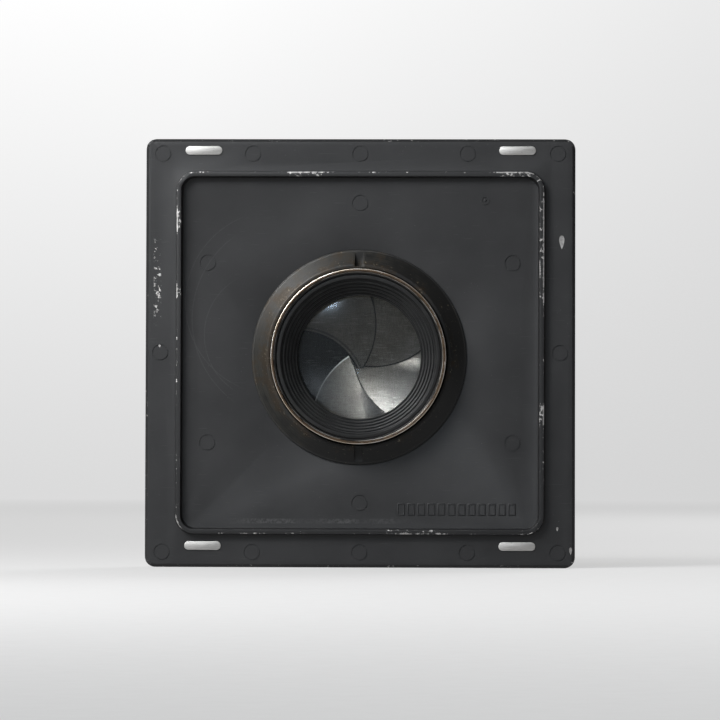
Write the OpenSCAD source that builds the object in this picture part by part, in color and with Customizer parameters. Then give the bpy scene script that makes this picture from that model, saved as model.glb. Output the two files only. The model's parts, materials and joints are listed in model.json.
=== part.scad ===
// Square lens board carrying a lens in a leaf shutter.
// The axis of the lens is the part's own axis and the seat pads of the board lie at zero.
// Every module draws in a working frame: x right, y up, z to the rear. turned() lays it down.

/* [Board] */
// width of the board
board_w = 158; // [130:1:190]
// height of the board
board_h = 157.6; // [130:1:190]
// thickness of the board's outer flange
board_t = 5; // [4.2:0.2:8]
// radius of the board's corners
corner_r = 4; // [2:0.5:8]
// how far the board's middle stands right of the lens
board_dx = 0.4; // [-1:0.1:1]
// how far the board's middle stands above the lens
board_dy = 1.5; // [0:0.1:4]
// height of the seat pads above the flange
pad_rise = 0.4; // [0.2:0.1:0.8]
// distance of the light trap from the board's edge
ridge_inset = 11; // [9.5:0.5:14]
// height of the light trap above the flange
ridge_rise = 2.6; // [1.5:0.1:4]
// width of the light trap's crest
ridge_t = 1.9; // [1:0.1:3]

/* [Rear] */
// height of the retaining ring over the panel
ring_rise = 4.8; // [4:0.2:7]
// how far the rear barrel's rim stands behind the seat pads
rim_z = 9.5; // [8:0.5:14]
// steps inside the rear baffle
baffle_steps = 5; // [3:1:8]

/* [Shutter] */
// full aperture of the shutter
aperture_d = 45; // [36:1:56]
// space for the works between the plates
works_depth = 10; // [9:0.5:16]
// thickness of the case back
back_t = 7.2; // [6.2:0.2:10]
// smallest opening of the iris
iris_min_d = 6; // [4:1:12]
// how far the levers stand out of the case
lever_reach = 7; // [4:0.5:9]

/* [Front] */
// length of the front barrel ahead of the speed ring
front_l = 22; // [18:1:32]

/* [Fits] */
// radial play of a piece that turns
run_gap = 0.08; // [0.05:0.01:0.1]
// radial play of a thread or a fixed piece
thread_gap = 0.05; // [0.02:0.01:0.1]
// play between plates and the pieces that slide on them
face_gap = 0.15; // [0.1:0.05:0.25]

/* [Hidden] */
$fn = 96;
// Everything inside the case is sized from the aperture.
unit = aperture_d / 45;
ap_r = aperture_d / 2;

// Depths of the board
flange_z = -pad_rise;
panel_drop = 0.8;
panel_z = flange_z - panel_drop;
seat_z = flange_z - board_t;
ridge_z = flange_z + ridge_rise;
edge_bevel = 1.2;
ridge_draft = 0.5;
ridge_corner = 7;
front_recess = 1;
recess_inset = 8;
mark_r = 3;
mark_depth = 0.15;
pad_w = 13.5;
pad_l = 3.2;
pad_inset_x = 21.3;
pad_inset_top = 4.3;
pad_inset_low = 7.9;

// Radii of the neck and what screws to it
neck_r = 31.5 * unit;
bore_r = 29.5 * unit;
ring_r = 39.45 * unit;
rim_r = 32.1 * unit;
ring_bore_r = rim_r + 0.35;
ring_top_r = rim_r + 1.7;
wall_r = 30 * unit;
seat_r = 25 * unit;
glass_r = 22.75 * unit;
neck_z = panel_z + ring_rise - 0.8;

// The stack inside the case, from the back forwards
floor_z = seat_z - back_t;
iris_n = 7;
leaf_t = 0.12;
leaf_pitch = 0.2;
iris_z = floor_z - face_gap;
iris_ring_z = iris_z - iris_n * leaf_pitch - face_gap;
ring_t = 1;
sector_z = iris_ring_z - ring_t - face_gap;
plate_t = 1;
blade_n = 5;
blade_z = sector_z - plate_t - face_gap;
blade_ring_z = blade_z - blade_n * leaf_pitch - face_gap;
works_plate_z = blade_ring_z - ring_t - face_gap;
works_plate_t = 1.5;
works_z = works_plate_z - works_plate_t;
cover_z = works_z - works_depth;
cover_t = 1.2;
speed_z = cover_z - cover_t - face_gap;
speed_t = 4;
front_z = speed_z - speed_t;

// Radii of the case
case_r = 51 * unit;
case_in = 47.9 * unit;
hole_r = 23.4 * unit;
tube_in = 29 * unit;
tube_out = 31 * unit;
moving_r = case_in - run_gap;

// Iris leaves
iris_pivot_r = 41 * unit;
iris_in_r = 23.2 * unit;
iris_out_r = 37 * unit;
iris_span = 108;
iris_ear = 3 * unit;
iris_pin_arc = 6;
iris_pin_r = 0.6;
iris_swing = 2 * asin((iris_in_r - iris_min_d / 2) / (2 * iris_pivot_r));
iris_turn = 40;
iris_ring_in = 36.5 * unit;
iris_first = 12;

// Shutter blades
blade_pivot_r = 39 * unit;
blade_edge_r = 23.4 * unit;
blade_lap = 3 * unit;
blade_swing = 2 * asin((blade_edge_r + blade_lap) / (2 * blade_pivot_r));
blade_arm = 5.2 * unit;
blade_back_r = 29.7 * unit;
blade_back_c = 26.8 * unit;
blade_back_a = 11;
blade_rim_r = 45.4 * unit;
blade_tip_a = 129;
blade_tip = 3.6 * unit;
blade_tail = [24 * unit, 6 * unit];
blade_first = 141;
post_r = 1;
blade_pin_r = 0.6;
blade_ring_in = 41.2 * unit;
blade_turn = 2 * atan2(blade_arm * sin(blade_swing / 2),
                       blade_pivot_r + blade_arm * cos(blade_swing / 2));

// Levers
lever_w = 5;
lever_t = 1.2;
iris_lever_a = 262;
view_lever_a = 98;
cock_a = 40;
cock_turn = 38;
release_a = 150;
cock_z = works_z - works_depth + 3;
release_z = works_z - 4;

// Slow-speed train
train_r = 39.5 * unit;
tooth_m = 0.5;
sector_teeth = 28;
pinion_teeth = 9;
wheel_teeth = 18;
star_teeth = 12;
train_a = 300;
train_play = 0.06;
arbor_r = 0.7;
gear_t = 0.9;

function turn(p, a) = [p[0] * cos(a) - p[1] * sin(a), p[0] * sin(a) + p[1] * cos(a)];
function polar(r, a) = [r * cos(a), r * sin(a)];
function about(p, c, a) = c + turn(p - c, a);

// Lays the working frame down so that its z runs to the rear of the camera.
module turned() {
    rotate([90, 0, 0]) children();
}

// A straight-sided layer that hangs forwards from z by t.
module layer(z, t) {
    translate([0, 0, z - t]) linear_extrude(t) children();
}

module annulus(outer, inner) {
    difference() {
        circle(outer);
        circle(inner);
    }
}

// Pie slice from angle a to b, under 150 degrees wide.
module wedge(r, a, b) {
    polygon([[0, 0], polar(r, a), polar(3 * r, (a + b) / 2), polar(r, b)]);
}

module arc_band(outer, inner, a, b) {
    intersection() {
        annulus(outer, inner);
        wedge(2 * outer, a, b);
    }
}

// Places copies round the axis, the first at angle a.
module around(n, a = 0) {
    for (i = [0:n - 1]) rotate(a + i * 360 / n) children();
}

// Rounded rectangle whose sides lean in by lean over its height.
module slab(w, h, r, t, lean) {
    for (x = [-1, 1], y = [-1, 1]) {
        translate([x * (w / 2 - r), y * (h / 2 - r), 0]) cylinder(r1 = r, r2 = r - lean, h = t);
    }
    translate([w / 2 - r, 0, 0]) rotate([90, 0, -90]) linear_extrude(w - 2 * r)
        polygon([[-h / 2, 0], [h / 2, 0], [h / 2 - lean, t], [lean - h / 2, t]]);
    translate([0, h / 2 - r, 0]) rotate([90, 0, 0]) linear_extrude(h - 2 * r)
        polygon([[-w / 2, 0], [w / 2, 0], [w / 2 - lean, t], [lean - w / 2, t]]);
}

function bearing(p, q) = atan2(q[1] - p[1], q[0] - p[0]);

// Half circle of points round p, clockwise from angle a.
function cap(p, a, half, n = 12) = [for (k = [1:n - 1]) p + polar(half, a - 180 * k / n)];

// Round-ended slot that a pin follows along the points.
module track(points, half) {
    last = len(points) - 1;
    side = [for (i = [0:last]) polar(half, 90 + bearing(points[max(i - 1, 0)], points[min(i + 1, last)]))];
    polygon(concat([for (i = [0:last]) points[i] + side[i]],
                   cap(points[last], bearing(points[last - 1], points[last]) + 90, half),
                   [for (i = [last:-1:0]) points[i] - side[i]],
                   cap(points[0], bearing(points[0], points[1]) - 90, half)));
}

// Plain gear outline with slim teeth, the first one at angle a.
module gear(n, a) {
    r = n * tooth_m / 2;
    step = 360 / n;
    tip = r + 0.8 * tooth_m;
    root = r - 1.15 * tooth_m;
    circle(root);
    around(n, a) polygon([polar(root * 0.9, -0.26 * step), polar(r, -0.18 * step), polar(tip, -0.08 * step),
                          polar(tip, 0.08 * step), polar(r, 0.18 * step), polar(root * 0.9, 0.26 * step)]);
}

// ---- board ----

module board_outline(inset = 0) {
    w = board_w - 2 * inset;
    h = board_h - 2 * inset;
    r = max(corner_r - inset, 1);
    square([w - 2 * r, h], center = true);
    square([w, h - 2 * r], center = true);
    for (x = [-1, 1], y = [-1, 1]) translate([x * (w / 2 - r), y * (h / 2 - r)]) circle(r);
}

module seat_pad() {
    square([pad_w - pad_l, pad_l], center = true);
    for (x = [-1, 1]) translate([x * (pad_w - pad_l) / 2, 0]) circle(pad_l / 2);
}

ridge_w = board_w - 2 * ridge_inset;
ridge_h = board_h - 2 * ridge_inset - 1.6;
panel_w = ridge_w - 2 * (ridge_t + ridge_draft);
panel_h = ridge_h - 2 * (ridge_t + ridge_draft);

// Shallow round marks the mould's pins leave.
module pin_marks() {
    edge = ridge_inset / 2;
    for (s = [-1, 1]) {
        for (x = [-0.46, -0.25, 0, 0.25, 0.46]) {
            translate([x * board_w, s * (board_h / 2 - edge), flange_z - mark_depth])
                cylinder(r = mark_r, h = 1);
        }
        translate([s * (board_w / 2 - edge), 0, flange_z - mark_depth]) cylinder(r = mark_r, h = 1);
        for (x = [-0.355, 0, 0.355]) {
            y = x == 0 ? 0.35 : 0.21;
            translate([x * board_w, s * y * board_h, panel_z - mark_depth]) cylinder(r = mark_r, h = 1);
        }
    }
}

// Raised blank marks: a ringed dot, and a run of empty frames where a plate number would stand.
module cast_marks() {
    mark_rise = 0.25;
    frames = 12;
    frame_pitch = 3.7;
    frame_w = 2.8;
    frame_h = 4.4;
    frame_line = 0.5;
    translate([0.29 * board_w, 0.357 * board_h, panel_z]) {
        linear_extrude(mark_rise) annulus(1.6, 1.15);
        cylinder(r = 0.5, h = mark_rise);
    }
    translate([0.087 * board_w, -0.378 * board_h, panel_z]) linear_extrude(mark_rise)
        for (i = [0:frames - 1]) translate([i * frame_pitch, 0]) difference() {
            square([frame_w, frame_h]);
            translate([frame_line, frame_line]) square([frame_w - 2 * frame_line, frame_h - 2 * frame_line]);
        }
}

module lens_board() {
    color([0.09, 0.09, 0.1]) turned() difference() {
        translate([board_dx, board_dy, 0]) union() {
            translate([0, 0, seat_z]) linear_extrude(board_t - edge_bevel) board_outline();
            translate([0, 0, flange_z - edge_bevel]) slab(board_w, board_h, corner_r, edge_bevel, edge_bevel);
            difference() {
                translate([0, 0, flange_z]) slab(ridge_w, ridge_h, ridge_corner, ridge_rise, ridge_draft);
                ridge_cut();
            }
            for (x = [-1, 1]) {
                translate([x * (board_w / 2 - pad_inset_x), 0, flange_z]) {
                    translate([0, board_h / 2 - pad_inset_top, 0]) linear_extrude(pad_rise) seat_pad();
                    translate([0, pad_inset_low - board_h / 2, 0]) linear_extrude(pad_rise) seat_pad();
                }
            }
        }
        translate([board_dx, board_dy, 0]) {
            difference() {
                ridge_cut();
                cast_marks();
            }
            pin_marks();
            front_cut();
        }
        translate([0, 0, seat_z - 1]) cylinder(r = neck_r + 2 * thread_gap, h = board_t + 2);
        translate([0, -key_r, seat_z - 1]) cylinder(r = key_pin_r + thread_gap, h = key_l + 1);
    }
}

// Pocket inside the light trap, flared towards the rear.
module ridge_cut() {
    t = ridge_z - panel_z;
    lean = ridge_draft * t / ridge_rise;
    translate([0, 0, panel_z]) slab(panel_w, panel_h, ridge_corner - ridge_t, t, -lean);
}

// Shallow recess in the front face, with the shutter's round seat left standing.
module front_cut() {
    translate([0, 0, seat_z - 1]) linear_extrude(1 + front_recess) difference() {
        board_outline(recess_inset);
        translate([-board_dx, -board_dy]) circle(case_r + 2);
    }
}

key_r = 42 * unit;
key_pin_r = 1.2;
key_l = 1.8;

module locating_pin() {
    color([0.72, 0.7, 0.66]) turned() translate([0, -key_r, seat_z - 3])
        cylinder(r = key_pin_r, h = 3 + key_l - 0.3);
}

// ---- rear ring and rear cell ----

module retaining_ring() {
    step = 0.9;
    notch_w = 2.8;
    color([0.2, 0.16, 0.1]) turned() difference() {
        rotate_extrude() polygon([
            [neck_r + thread_gap, panel_z], [ring_r, panel_z], [ring_r, panel_z + step],
            [ring_r - 0.6, panel_z + step], [ring_top_r, panel_z + ring_rise],
            [ring_bore_r, panel_z + ring_rise], [ring_bore_r, neck_z - 0.3],
            [neck_r + thread_gap, neck_z - 0.3]]);
        for (s = [-1, 1]) {
            translate([-notch_w / 2, s > 0 ? neck_r : -ring_r - 1 , panel_z + 1.6])
                cube([notch_w, ring_r - neck_r + 1, ring_rise]);
        }
    }
}

module rear_barrel() {
    edge = 0.5;
    relief = 0.5;
    shoulder = 1.4 * unit;
    color([0.42, 0.35, 0.24]) turned() rotate_extrude() polygon([
        [seat_r + thread_gap, floor_z + 1.2], [bore_r - thread_gap, floor_z + 1.2],
        [bore_r - thread_gap, neck_z], [rim_r - relief, neck_z], [rim_r - relief, neck_z + 0.95],
        [rim_r, neck_z + 0.95], [rim_r, rim_z - edge], [rim_r - edge, rim_z],
        [rim_r - 2 * edge, rim_z], [wall_r, rim_z - 2 * edge - 0.3], [wall_r, baffle_step_z],
        [baffle_neck_r, baffle_step_z], [baffle_neck_r, baffle_low_z],
        [seat_r + thread_gap, baffle_low_z], [seat_r + thread_gap, rear_glass_z],
        [seat_r - shoulder, rear_glass_z], [seat_r - shoulder, rear_glass_z - 1],
        [seat_r + thread_gap, rear_glass_z - 1]]);
}

baffle_step_z = neck_z + 1.2;
baffle_neck_r = 26.8 * unit;
rear_glass_z = -4.5;
rear_glass_t = 2.8;
rear_dome = 2.6;
baffle_low_z = -0.6;
baffle_top_z = rim_z - 1.7;
baffle_r = 28.2 * unit;

// Lens element: an edge of height t on the plane z, domed by rise towards the rear.
module domed(r, z, t, rise) {
    ball = (r * r + rise * rise) / (2 * rise);
    translate([0, 0, z]) intersection() {
        cylinder(r = r, h = t + rise + 1);
        translate([0, 0, t + rise - ball]) sphere(ball, $fn = 240);
    }
}

module rear_baffle() {
    lip = 1.2;
    fall = (baffle_top_z - 0.5 - baffle_low_z - lip) / baffle_steps;
    tread = (baffle_r - glass_r) / baffle_steps;
    color([0.07, 0.07, 0.07]) turned() rotate_extrude() polygon(concat(
        [[baffle_neck_r - thread_gap, baffle_low_z], [baffle_neck_r - thread_gap, baffle_step_z],
         [wall_r - thread_gap, baffle_step_z], [wall_r - thread_gap, baffle_top_z],
         [baffle_r + 0.5, baffle_top_z], [baffle_r, baffle_top_z - 0.5]],
        [for (i = [0:baffle_steps - 1], k = [0, 1])
            [baffle_r - (i + k) * tread, baffle_top_z - 0.5 - (i + 1) * fall + (1 - k) * 0.25]],
        [[glass_r, baffle_low_z]]));
}

module rear_element_outer() {
    color([0.82, 0.88, 0.9, 0.35]) turned() domed(seat_r, rear_glass_z, rear_glass_t, rear_dome);
}

module rear_element_inner() {
    t = 3.6;
    dish = 1.6;
    z = rear_glass_z - 1 - t;
    ball = (glass_r * glass_r + dish * dish) / (2 * dish);
    color([0.82, 0.88, 0.9, 0.35]) turned() difference() {
        translate([0, 0, z]) cylinder(r = seat_r, h = t);
        translate([0, 0, z + dish - ball]) sphere(ball, $fn = 240);
    }
}

module rear_lock_ring() {
    color([0.1, 0.1, 0.1]) turned() layer(rear_glass_z - 4.6, 1.2) difference() {
        annulus(seat_r, glass_r + 0.4);
        for (s = [-1, 1]) translate([s * seat_r, 0]) square([2.4, 1.6], center = true);
    }
}

// ---- case ----

module case_back() {
    color([0.12, 0.12, 0.13]) turned() difference() {
        union() {
            layer(seat_z, back_t) annulus(case_r, hole_r);
            layer(neck_z, neck_z - seat_z) annulus(neck_r, bore_r);
        }
        translate([0, 0, floor_z + 1]) cylinder(r = bore_r, h = back_t + 10);
        translate([0, -key_r, seat_z - 3]) cylinder(r = key_pin_r, h = 4);
        around(iris_n, iris_first) translate([iris_pivot_r, 0, floor_z - 1])
            cylinder(r = iris_pin_r + run_gap, h = 2.2, $fn = 48);
    }
}

screw_r = (case_r + case_in) / 2;
screw_first = 20;
screw_shank_r = 0.7;
screw_head_r = 1.3;

// Opening in the case wall for a lever lying below z, from angle a to b.
module lever_window(z, t, a, b) {
    layer(z + face_gap, t + 2 * face_gap) arc_band(case_r + 1, case_in - 1, a, b);
}

function lever_half(r) = asin((lever_w / 2 + 0.4) / r);

module case_shell() {
    half = lever_half(case_in);
    color([0.1, 0.1, 0.11]) turned() difference() {
        union() {
            layer(floor_z, floor_z - cover_z) annulus(case_r, case_in);
            for (a = lug_at) layer(works_z, lug_t) arc_band(case_in + 0.5, case_in - 1.3, a - 4, a + 4);
        }
        lever_window(iris_ring_z, ring_t, iris_lever_a - half, iris_lever_a + iris_turn + half);
        lever_window(blade_ring_z, ring_t, view_lever_a - half, view_lever_a + blade_turn + half);
        lever_window(cock_z, lever_t, cock_a - half, cock_a + cock_turn + half);
        lever_window(release_z, lever_t, release_a - 2 * half, release_a + 2.2 * half);
        socket_hole(cable_a, cable_neck_r, cable_body_r);
        socket_hole(sync_a, sync_r, sync_body_r);
        around(4, screw_first) translate([screw_r, 0, cover_z - 1])
            cylinder(r = screw_shank_r, h = 8, $fn = 48);
    }
}

// Ledges that the works plate rests on.
lug_at = [0, 88, 240];
lug_t = 1.5;

cable_a = 186;
sync_a = 222;
cable_z = works_z - works_depth / 2;
cable_neck_r = 2;
cable_body_r = 3;
cable_bore_r = 1.6;
sync_r = 2;
sync_body_r = 2.9;
cable_l = 6.7;
sync_l = 5.7;
spot = 0.4;
socket_z = case_r - case_in - spot;

// Hole for a socket's neck, with the flat that its body seats on.
module socket_hole(a, r, body_r) {
    rotate(a) translate([case_in, 0, cable_z]) rotate([0, 90, 0]) {
        translate([0, 0, -2]) cylinder(r = r + thread_gap, h = 8, $fn = 48);
        translate([0, 0, socket_z]) cylinder(r = body_r + 2 * thread_gap, h = 3, $fn = 48);
    }
}

module sector_plate() {
    color([0.16, 0.16, 0.17]) turned() layer(sector_z, plate_t) difference() {
        annulus(case_in - thread_gap, hole_r);
        around(blade_n, blade_first) translate([blade_pivot_r, 0]) circle(post_r, $fn = 48);
    }
}

// Works plate with the tube that takes the front cell and the arbors' holes.
module works_plate() {
    color([0.78, 0.7, 0.48]) turned() difference() {
        union() {
            layer(works_plate_z, works_plate_t) annulus(case_in - thread_gap, hole_r);
            layer(works_plate_z, works_plate_z - cover_z + cover_t) annulus(tube_out, tube_in);
        }
        translate([0, 0, works_z - 1]) around(blade_n, blade_first)
            translate([blade_pivot_r, 0, 0]) cylinder(r = post_r, h = works_plate_t + 2, $fn = 48);
        translate([0, 0, works_z - 1]) for (p = concat(arbors, [release_post, spring_post])) {
            translate([p[0], p[1], 0]) cylinder(r = arbor_r, h = works_plate_t + 2, $fn = 48);
        }
    }
}

module cover_plate() {
    color([0.12, 0.12, 0.13]) turned() difference() {
        layer(cover_z, cover_t) annulus(case_r, tube_out + thread_gap);
        around(4, screw_first) translate([screw_r, 0, cover_z - cover_t - 0.01])
            cylinder(r1 = screw_head_r, r2 = screw_shank_r, h = 0.61, $fn = 48);
        around(4, screw_first) translate([screw_r, 0, cover_z - cover_t - 1])
            cylinder(r = screw_shank_r, h = 4, $fn = 48);
    }
}

module case_screws() {
    color([0.7, 0.7, 0.72]) turned() around(4, screw_first) translate([screw_r, 0, cover_z - cover_t]) {
        difference() {
            union() {
                cylinder(r = screw_shank_r - 0.02, h = 5, $fn = 48);
                cylinder(r1 = screw_head_r - 0.04, r2 = screw_shank_r - 0.02, h = 0.6, $fn = 48);
            }
            translate([-2, -0.15, -0.1]) cube([4, 0.3, 0.35]);
        }
    }
}

// ---- iris ----

iris_pin = polar(iris_pivot_r, iris_pin_arc);
iris_pivot = [iris_pivot_r, 0];

// Where the iris pin stands in the ring's own frame, t from open 0 to closed 1.
function iris_track(t) = turn(about(iris_pin, iris_pivot, iris_swing * t), -iris_turn * t);

module iris_leaf(i) {
    z = iris_z - i * leaf_pitch;
    color([0.2, 0.2, 0.21]) turned() rotate(iris_first + i * 360 / iris_n) {
        layer(z, leaf_t) {
            arc_band(iris_out_r, iris_in_r, -3, iris_span);
            arc_band(iris_pivot_r + iris_ear, iris_out_r - 1, -4, iris_pin_arc + 3);
        }
        translate([iris_pivot_r, 0, z - leaf_t])
            cylinder(r = iris_pin_r, h = floor_z + 0.9 - z + leaf_t, $fn = 48);
        translate([iris_pin[0], iris_pin[1], iris_ring_z - ring_t + 0.1])
            cylinder(r = iris_pin_r, h = z - iris_ring_z + ring_t - 0.1, $fn = 48);
    }
}

module iris_leaf_1() { iris_leaf(0); }
module iris_leaf_2() { iris_leaf(1); }
module iris_leaf_3() { iris_leaf(2); }
module iris_leaf_4() { iris_leaf(3); }
module iris_leaf_5() { iris_leaf(4); }
module iris_leaf_6() { iris_leaf(5); }
module iris_leaf_7() { iris_leaf(6); }

// Flat round-ended lever that points out at angle a.
module lever_arm(a, from) {
    end = case_r + lever_reach - lever_w / 2;
    rotate(a) {
        translate([from, -lever_w / 2]) square([end - from, lever_w]);
        translate([end, 0]) circle(lever_w / 2, $fn = 48);
    }
}

module iris_ring() {
    steps = 24;
    color([0.75, 0.68, 0.5]) turned() layer(iris_ring_z, ring_t) {
        difference() {
            annulus(moving_r, iris_ring_in);
            around(iris_n, iris_first) track([for (k = [0:steps]) iris_track(k / steps)], iris_pin_r + run_gap);
        }
        lever_arm(iris_lever_a, moving_r - 1.5);
    }
}

// ---- shutter blades ----

blade_pivot = [blade_pivot_r, 0];
blade_lead_c = about([0, 0], blade_pivot, -blade_swing);

// Pin that drives a blade, in the ring's own frame, t from closed 0 to open 1.
function blade_pin(t) = blade_pivot + polar(blade_arm, blade_swing * (t - 0.5));
function blade_track(t) = turn(blade_pin(t), -blade_turn * t);

module blade_outline() {
    difference() {
        intersection() {
            circle(blade_rim_r);
            translate(blade_lead_c) circle(blade_rim_r);
            translate(polar(blade_back_c, blade_back_a)) circle(blade_back_r);
            rotate(blade_tip_a) translate([blade_tip - 3 * ap_r, -3 * ap_r]) square([3 * ap_r, 6 * ap_r]);
        }
        translate(blade_lead_c) circle(blade_edge_r);
        translate(blade_tail) square(2 * ap_r);
        translate(blade_pivot) circle(post_r + run_gap, $fn = 48);
    }
}

module shutter_blade(i) {
    z = blade_z - i * leaf_pitch;
    pin = blade_pin(0);
    color([0.5, 0.5, 0.52]) turned() rotate(blade_first - i * 360 / blade_n) {
        layer(z, leaf_t) blade_outline();
        translate([pin[0], pin[1], blade_ring_z - ring_t + 0.1])
            cylinder(r = blade_pin_r, h = z - blade_ring_z + ring_t - 0.1, $fn = 48);
    }
}

module shutter_blade_1() { shutter_blade(0); }
module shutter_blade_2() { shutter_blade(1); }
module shutter_blade_3() { shutter_blade(2); }
module shutter_blade_4() { shutter_blade(3); }
module shutter_blade_5() { shutter_blade(4); }

module blade_posts() {
    color([0.78, 0.78, 0.8]) turned() around(blade_n, blade_first)
        translate([blade_pivot_r, 0, works_z]) cylinder(r = post_r, h = sector_z - works_z, $fn = 48);
}

module blade_ring() {
    steps = 6;
    color([0.72, 0.72, 0.74]) turned() layer(blade_ring_z, ring_t) {
        difference() {
            annulus(moving_r, blade_ring_in);
            around(blade_n, blade_first) for (k = [0:steps])
                translate(blade_track(k / steps)) circle(blade_pin_r + run_gap, $fn = 48);
        }
    }
}

module view_lever() {
    color([0.7, 0.7, 0.72]) turned() {
        layer(blade_ring_z, ring_t) difference() {
            lever_arm(view_lever_a, moving_r);
            circle(moving_r);
        }
    }
}

// ---- works ----

release_post = polar(41.5 * unit, release_a);
spring_post = polar(train_r, 120);

// Centres of the slow-speed train, each a gear's reach further round.
function reach(a, b) = (a + b) * tooth_m / 2 + train_play;
function next_a(a, d) = a + 2 * asin(d / (2 * train_r));
train_b = next_a(train_a, reach(sector_teeth, pinion_teeth));
train_c = next_a(train_b, reach(wheel_teeth, pinion_teeth));
train_d = next_a(train_c, star_teeth * tooth_m / 2 + 2.6);
arbors = [for (a = [train_a, train_b, train_c, train_d]) polar(train_r, a)];

module at_arbor(k, z) {
    translate([arbors[k][0], arbors[k][1], z]) children();
}

// Arbor hole through every piece of the train, cut well past both of its faces.
module arbor_bore() {
    translate([0, 0, -works_depth]) cylinder(r = arbor_r + run_gap, h = 2 * works_depth, $fn = 48);
}

// The train runs in three layers, each one gap ahead of the last; a pipe joins the two wheels of an arbor.
layer_gap = 0.3;
pipe_r = 1.5;
sector_zs = works_z - face_gap - gear_t;
wheel_zs = sector_zs - layer_gap - gear_t;
star_zs = wheel_zs - layer_gap - gear_t;

module retard_sector() {
    a = bearing(arbors[0], arbors[1]);
    color([0.8, 0.68, 0.38]) turned() at_arbor(0, sector_zs) difference() {
        union() {
            intersection() {
                linear_extrude(gear_t) gear(sector_teeth, a);
                linear_extrude(gear_t) {
                    wedge(40, a - 70, a + 40);
                    circle(2.4);
                }
            }
            translate([0, 0, -1]) cylinder(r = 1.6, h = 1, $fn = 48);
        }
        arbor_bore();
    }
}

module retard_wheel() {
    back = bearing(arbors[1], arbors[0]);
    on = bearing(arbors[1], arbors[2]);
    color([0.8, 0.68, 0.38]) turned() at_arbor(1, 0) difference() {
        union() {
            translate([0, 0, sector_zs]) linear_extrude(gear_t) gear(pinion_teeth, back + 180 / pinion_teeth);
            translate([0, 0, wheel_zs + gear_t])
                cylinder(r = pipe_r, h = sector_zs - wheel_zs - gear_t, $fn = 48);
            translate([0, 0, wheel_zs]) linear_extrude(gear_t) gear(wheel_teeth, on);
        }
        translate([0, 0, works_z]) arbor_bore();
    }
}

module star_wheel() {
    back = bearing(arbors[2], arbors[1]);
    color([0.8, 0.68, 0.38]) turned() at_arbor(2, 0) difference() {
        union() {
            translate([0, 0, wheel_zs]) linear_extrude(gear_t) gear(pinion_teeth, back + 180 / pinion_teeth);
            translate([0, 0, star_zs + gear_t])
                cylinder(r = pipe_r, h = wheel_zs - star_zs - gear_t, $fn = 48);
            translate([0, 0, star_zs]) linear_extrude(gear_t) {
                circle(2.1);
                around(star_teeth, 0) polygon([[1.6, -0.5], [3, -0.05], [3, 0.15], [1.6, 0.5]]);
            }
        }
        translate([0, 0, works_z]) arbor_bore();
    }
}

module pallet() {
    a = bearing(arbors[3], arbors[2]);
    color([0.72, 0.72, 0.74]) turned() at_arbor(3, 0) difference() {
        translate([0, 0, star_zs]) linear_extrude(gear_t) difference() {
            union() {
                circle(1.6);
                for (s = [-1, 1]) rotate(a + s * 62) translate([0, -0.6]) square([4.2, 1.2]);
            }
            translate(arbors[2] - arbors[3]) circle(3.25);
        }
        translate([0, 0, works_z]) arbor_bore();
    }
}

module arbors_and_posts() {
    color([0.78, 0.78, 0.8]) turned() {
        for (p = concat(arbors, [release_post, spring_post])) {
            translate([p[0], p[1], cover_z]) cylinder(r = arbor_r, h = works_plate_z - cover_z, $fn = 48);
        }
    }
}

// Coil of stacked turns on its post, with one leg to the tube and one to the wall.
module main_spring() {
    wire = 0.5;
    turns = 5;
    coil_r = arbor_r + 0.9;
    color([0.62, 0.63, 0.66]) turned() translate([spring_post[0], spring_post[1], works_z - wire]) {
        for (k = [0:turns - 1]) translate([0, 0, -k * wire * 1.9]) rotate_extrude()
            translate([coil_r, 0]) circle(wire, $fn = 24);
        for (s = [0, 1]) rotate(s * 150) translate([coil_r, 0, -s * (turns - 1) * wire * 1.9])
            rotate([-90, 0, 0]) cylinder(r = wire * 0.8, h = 4.4, $fn = 24);
    }
}

module cocking_lever() {
    hub = 2.6;
    color([0.7, 0.7, 0.72]) turned() layer(cock_z, lever_t) {
        annulus(tube_out + hub, tube_out + run_gap);
        lever_arm(cock_a, tube_out + hub - 1);
    }
}

module release_lever() {
    color([0.7, 0.7, 0.72]) turned() layer(release_z, lever_t) difference() {
        union() {
            translate(release_post) circle(3);
            lever_arm(release_a, norm(release_post));
            translate(release_post) rotate(release_a - 115) translate([0, -1.2]) square([7, 2.4]);
        }
        translate(release_post) circle(arbor_r + run_gap, $fn = 48);
    }
}

module cable_socket() {
    color([0.75, 0.75, 0.77]) turned() rotate(cable_a)
        translate([case_in, 0, cable_z]) rotate([0, 90, 0]) difference() {
        union() {
            cylinder(r = cable_neck_r, h = socket_z + 1, $fn = 48);
            translate([0, 0, socket_z]) cylinder(r = cable_body_r, h = cable_l, $fn = 48);
        }
        translate([0, 0, -1]) cylinder(r = 0.9, h = cable_l + 8, $fn = 48);
        translate([0, 0, socket_z + 1.7]) cylinder(r = cable_bore_r, h = cable_l, $fn = 48);
    }
}

module sync_socket() {
    color([0.75, 0.75, 0.77]) turned() rotate(sync_a) translate([case_in, 0, cable_z]) rotate([0, 90, 0]) {
        difference() {
            union() {
                cylinder(r = sync_r, h = socket_z + 1, $fn = 48);
                translate([0, 0, socket_z]) cylinder(r = sync_body_r, h = sync_l, $fn = 48);
            }
            translate([0, 0, socket_z + 1.7]) cylinder(r = 2.3, h = sync_l, $fn = 48);
        }
        translate([0, 0, socket_z + 1.4]) cylinder(r = 0.8, h = sync_l - 2.1, $fn = 48);
    }
}

// ---- front ----

hub_out = tube_out + 2;
speed_in = hub_out + run_gap;
speed_out = 50 * unit;
knurls = 60;

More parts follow.
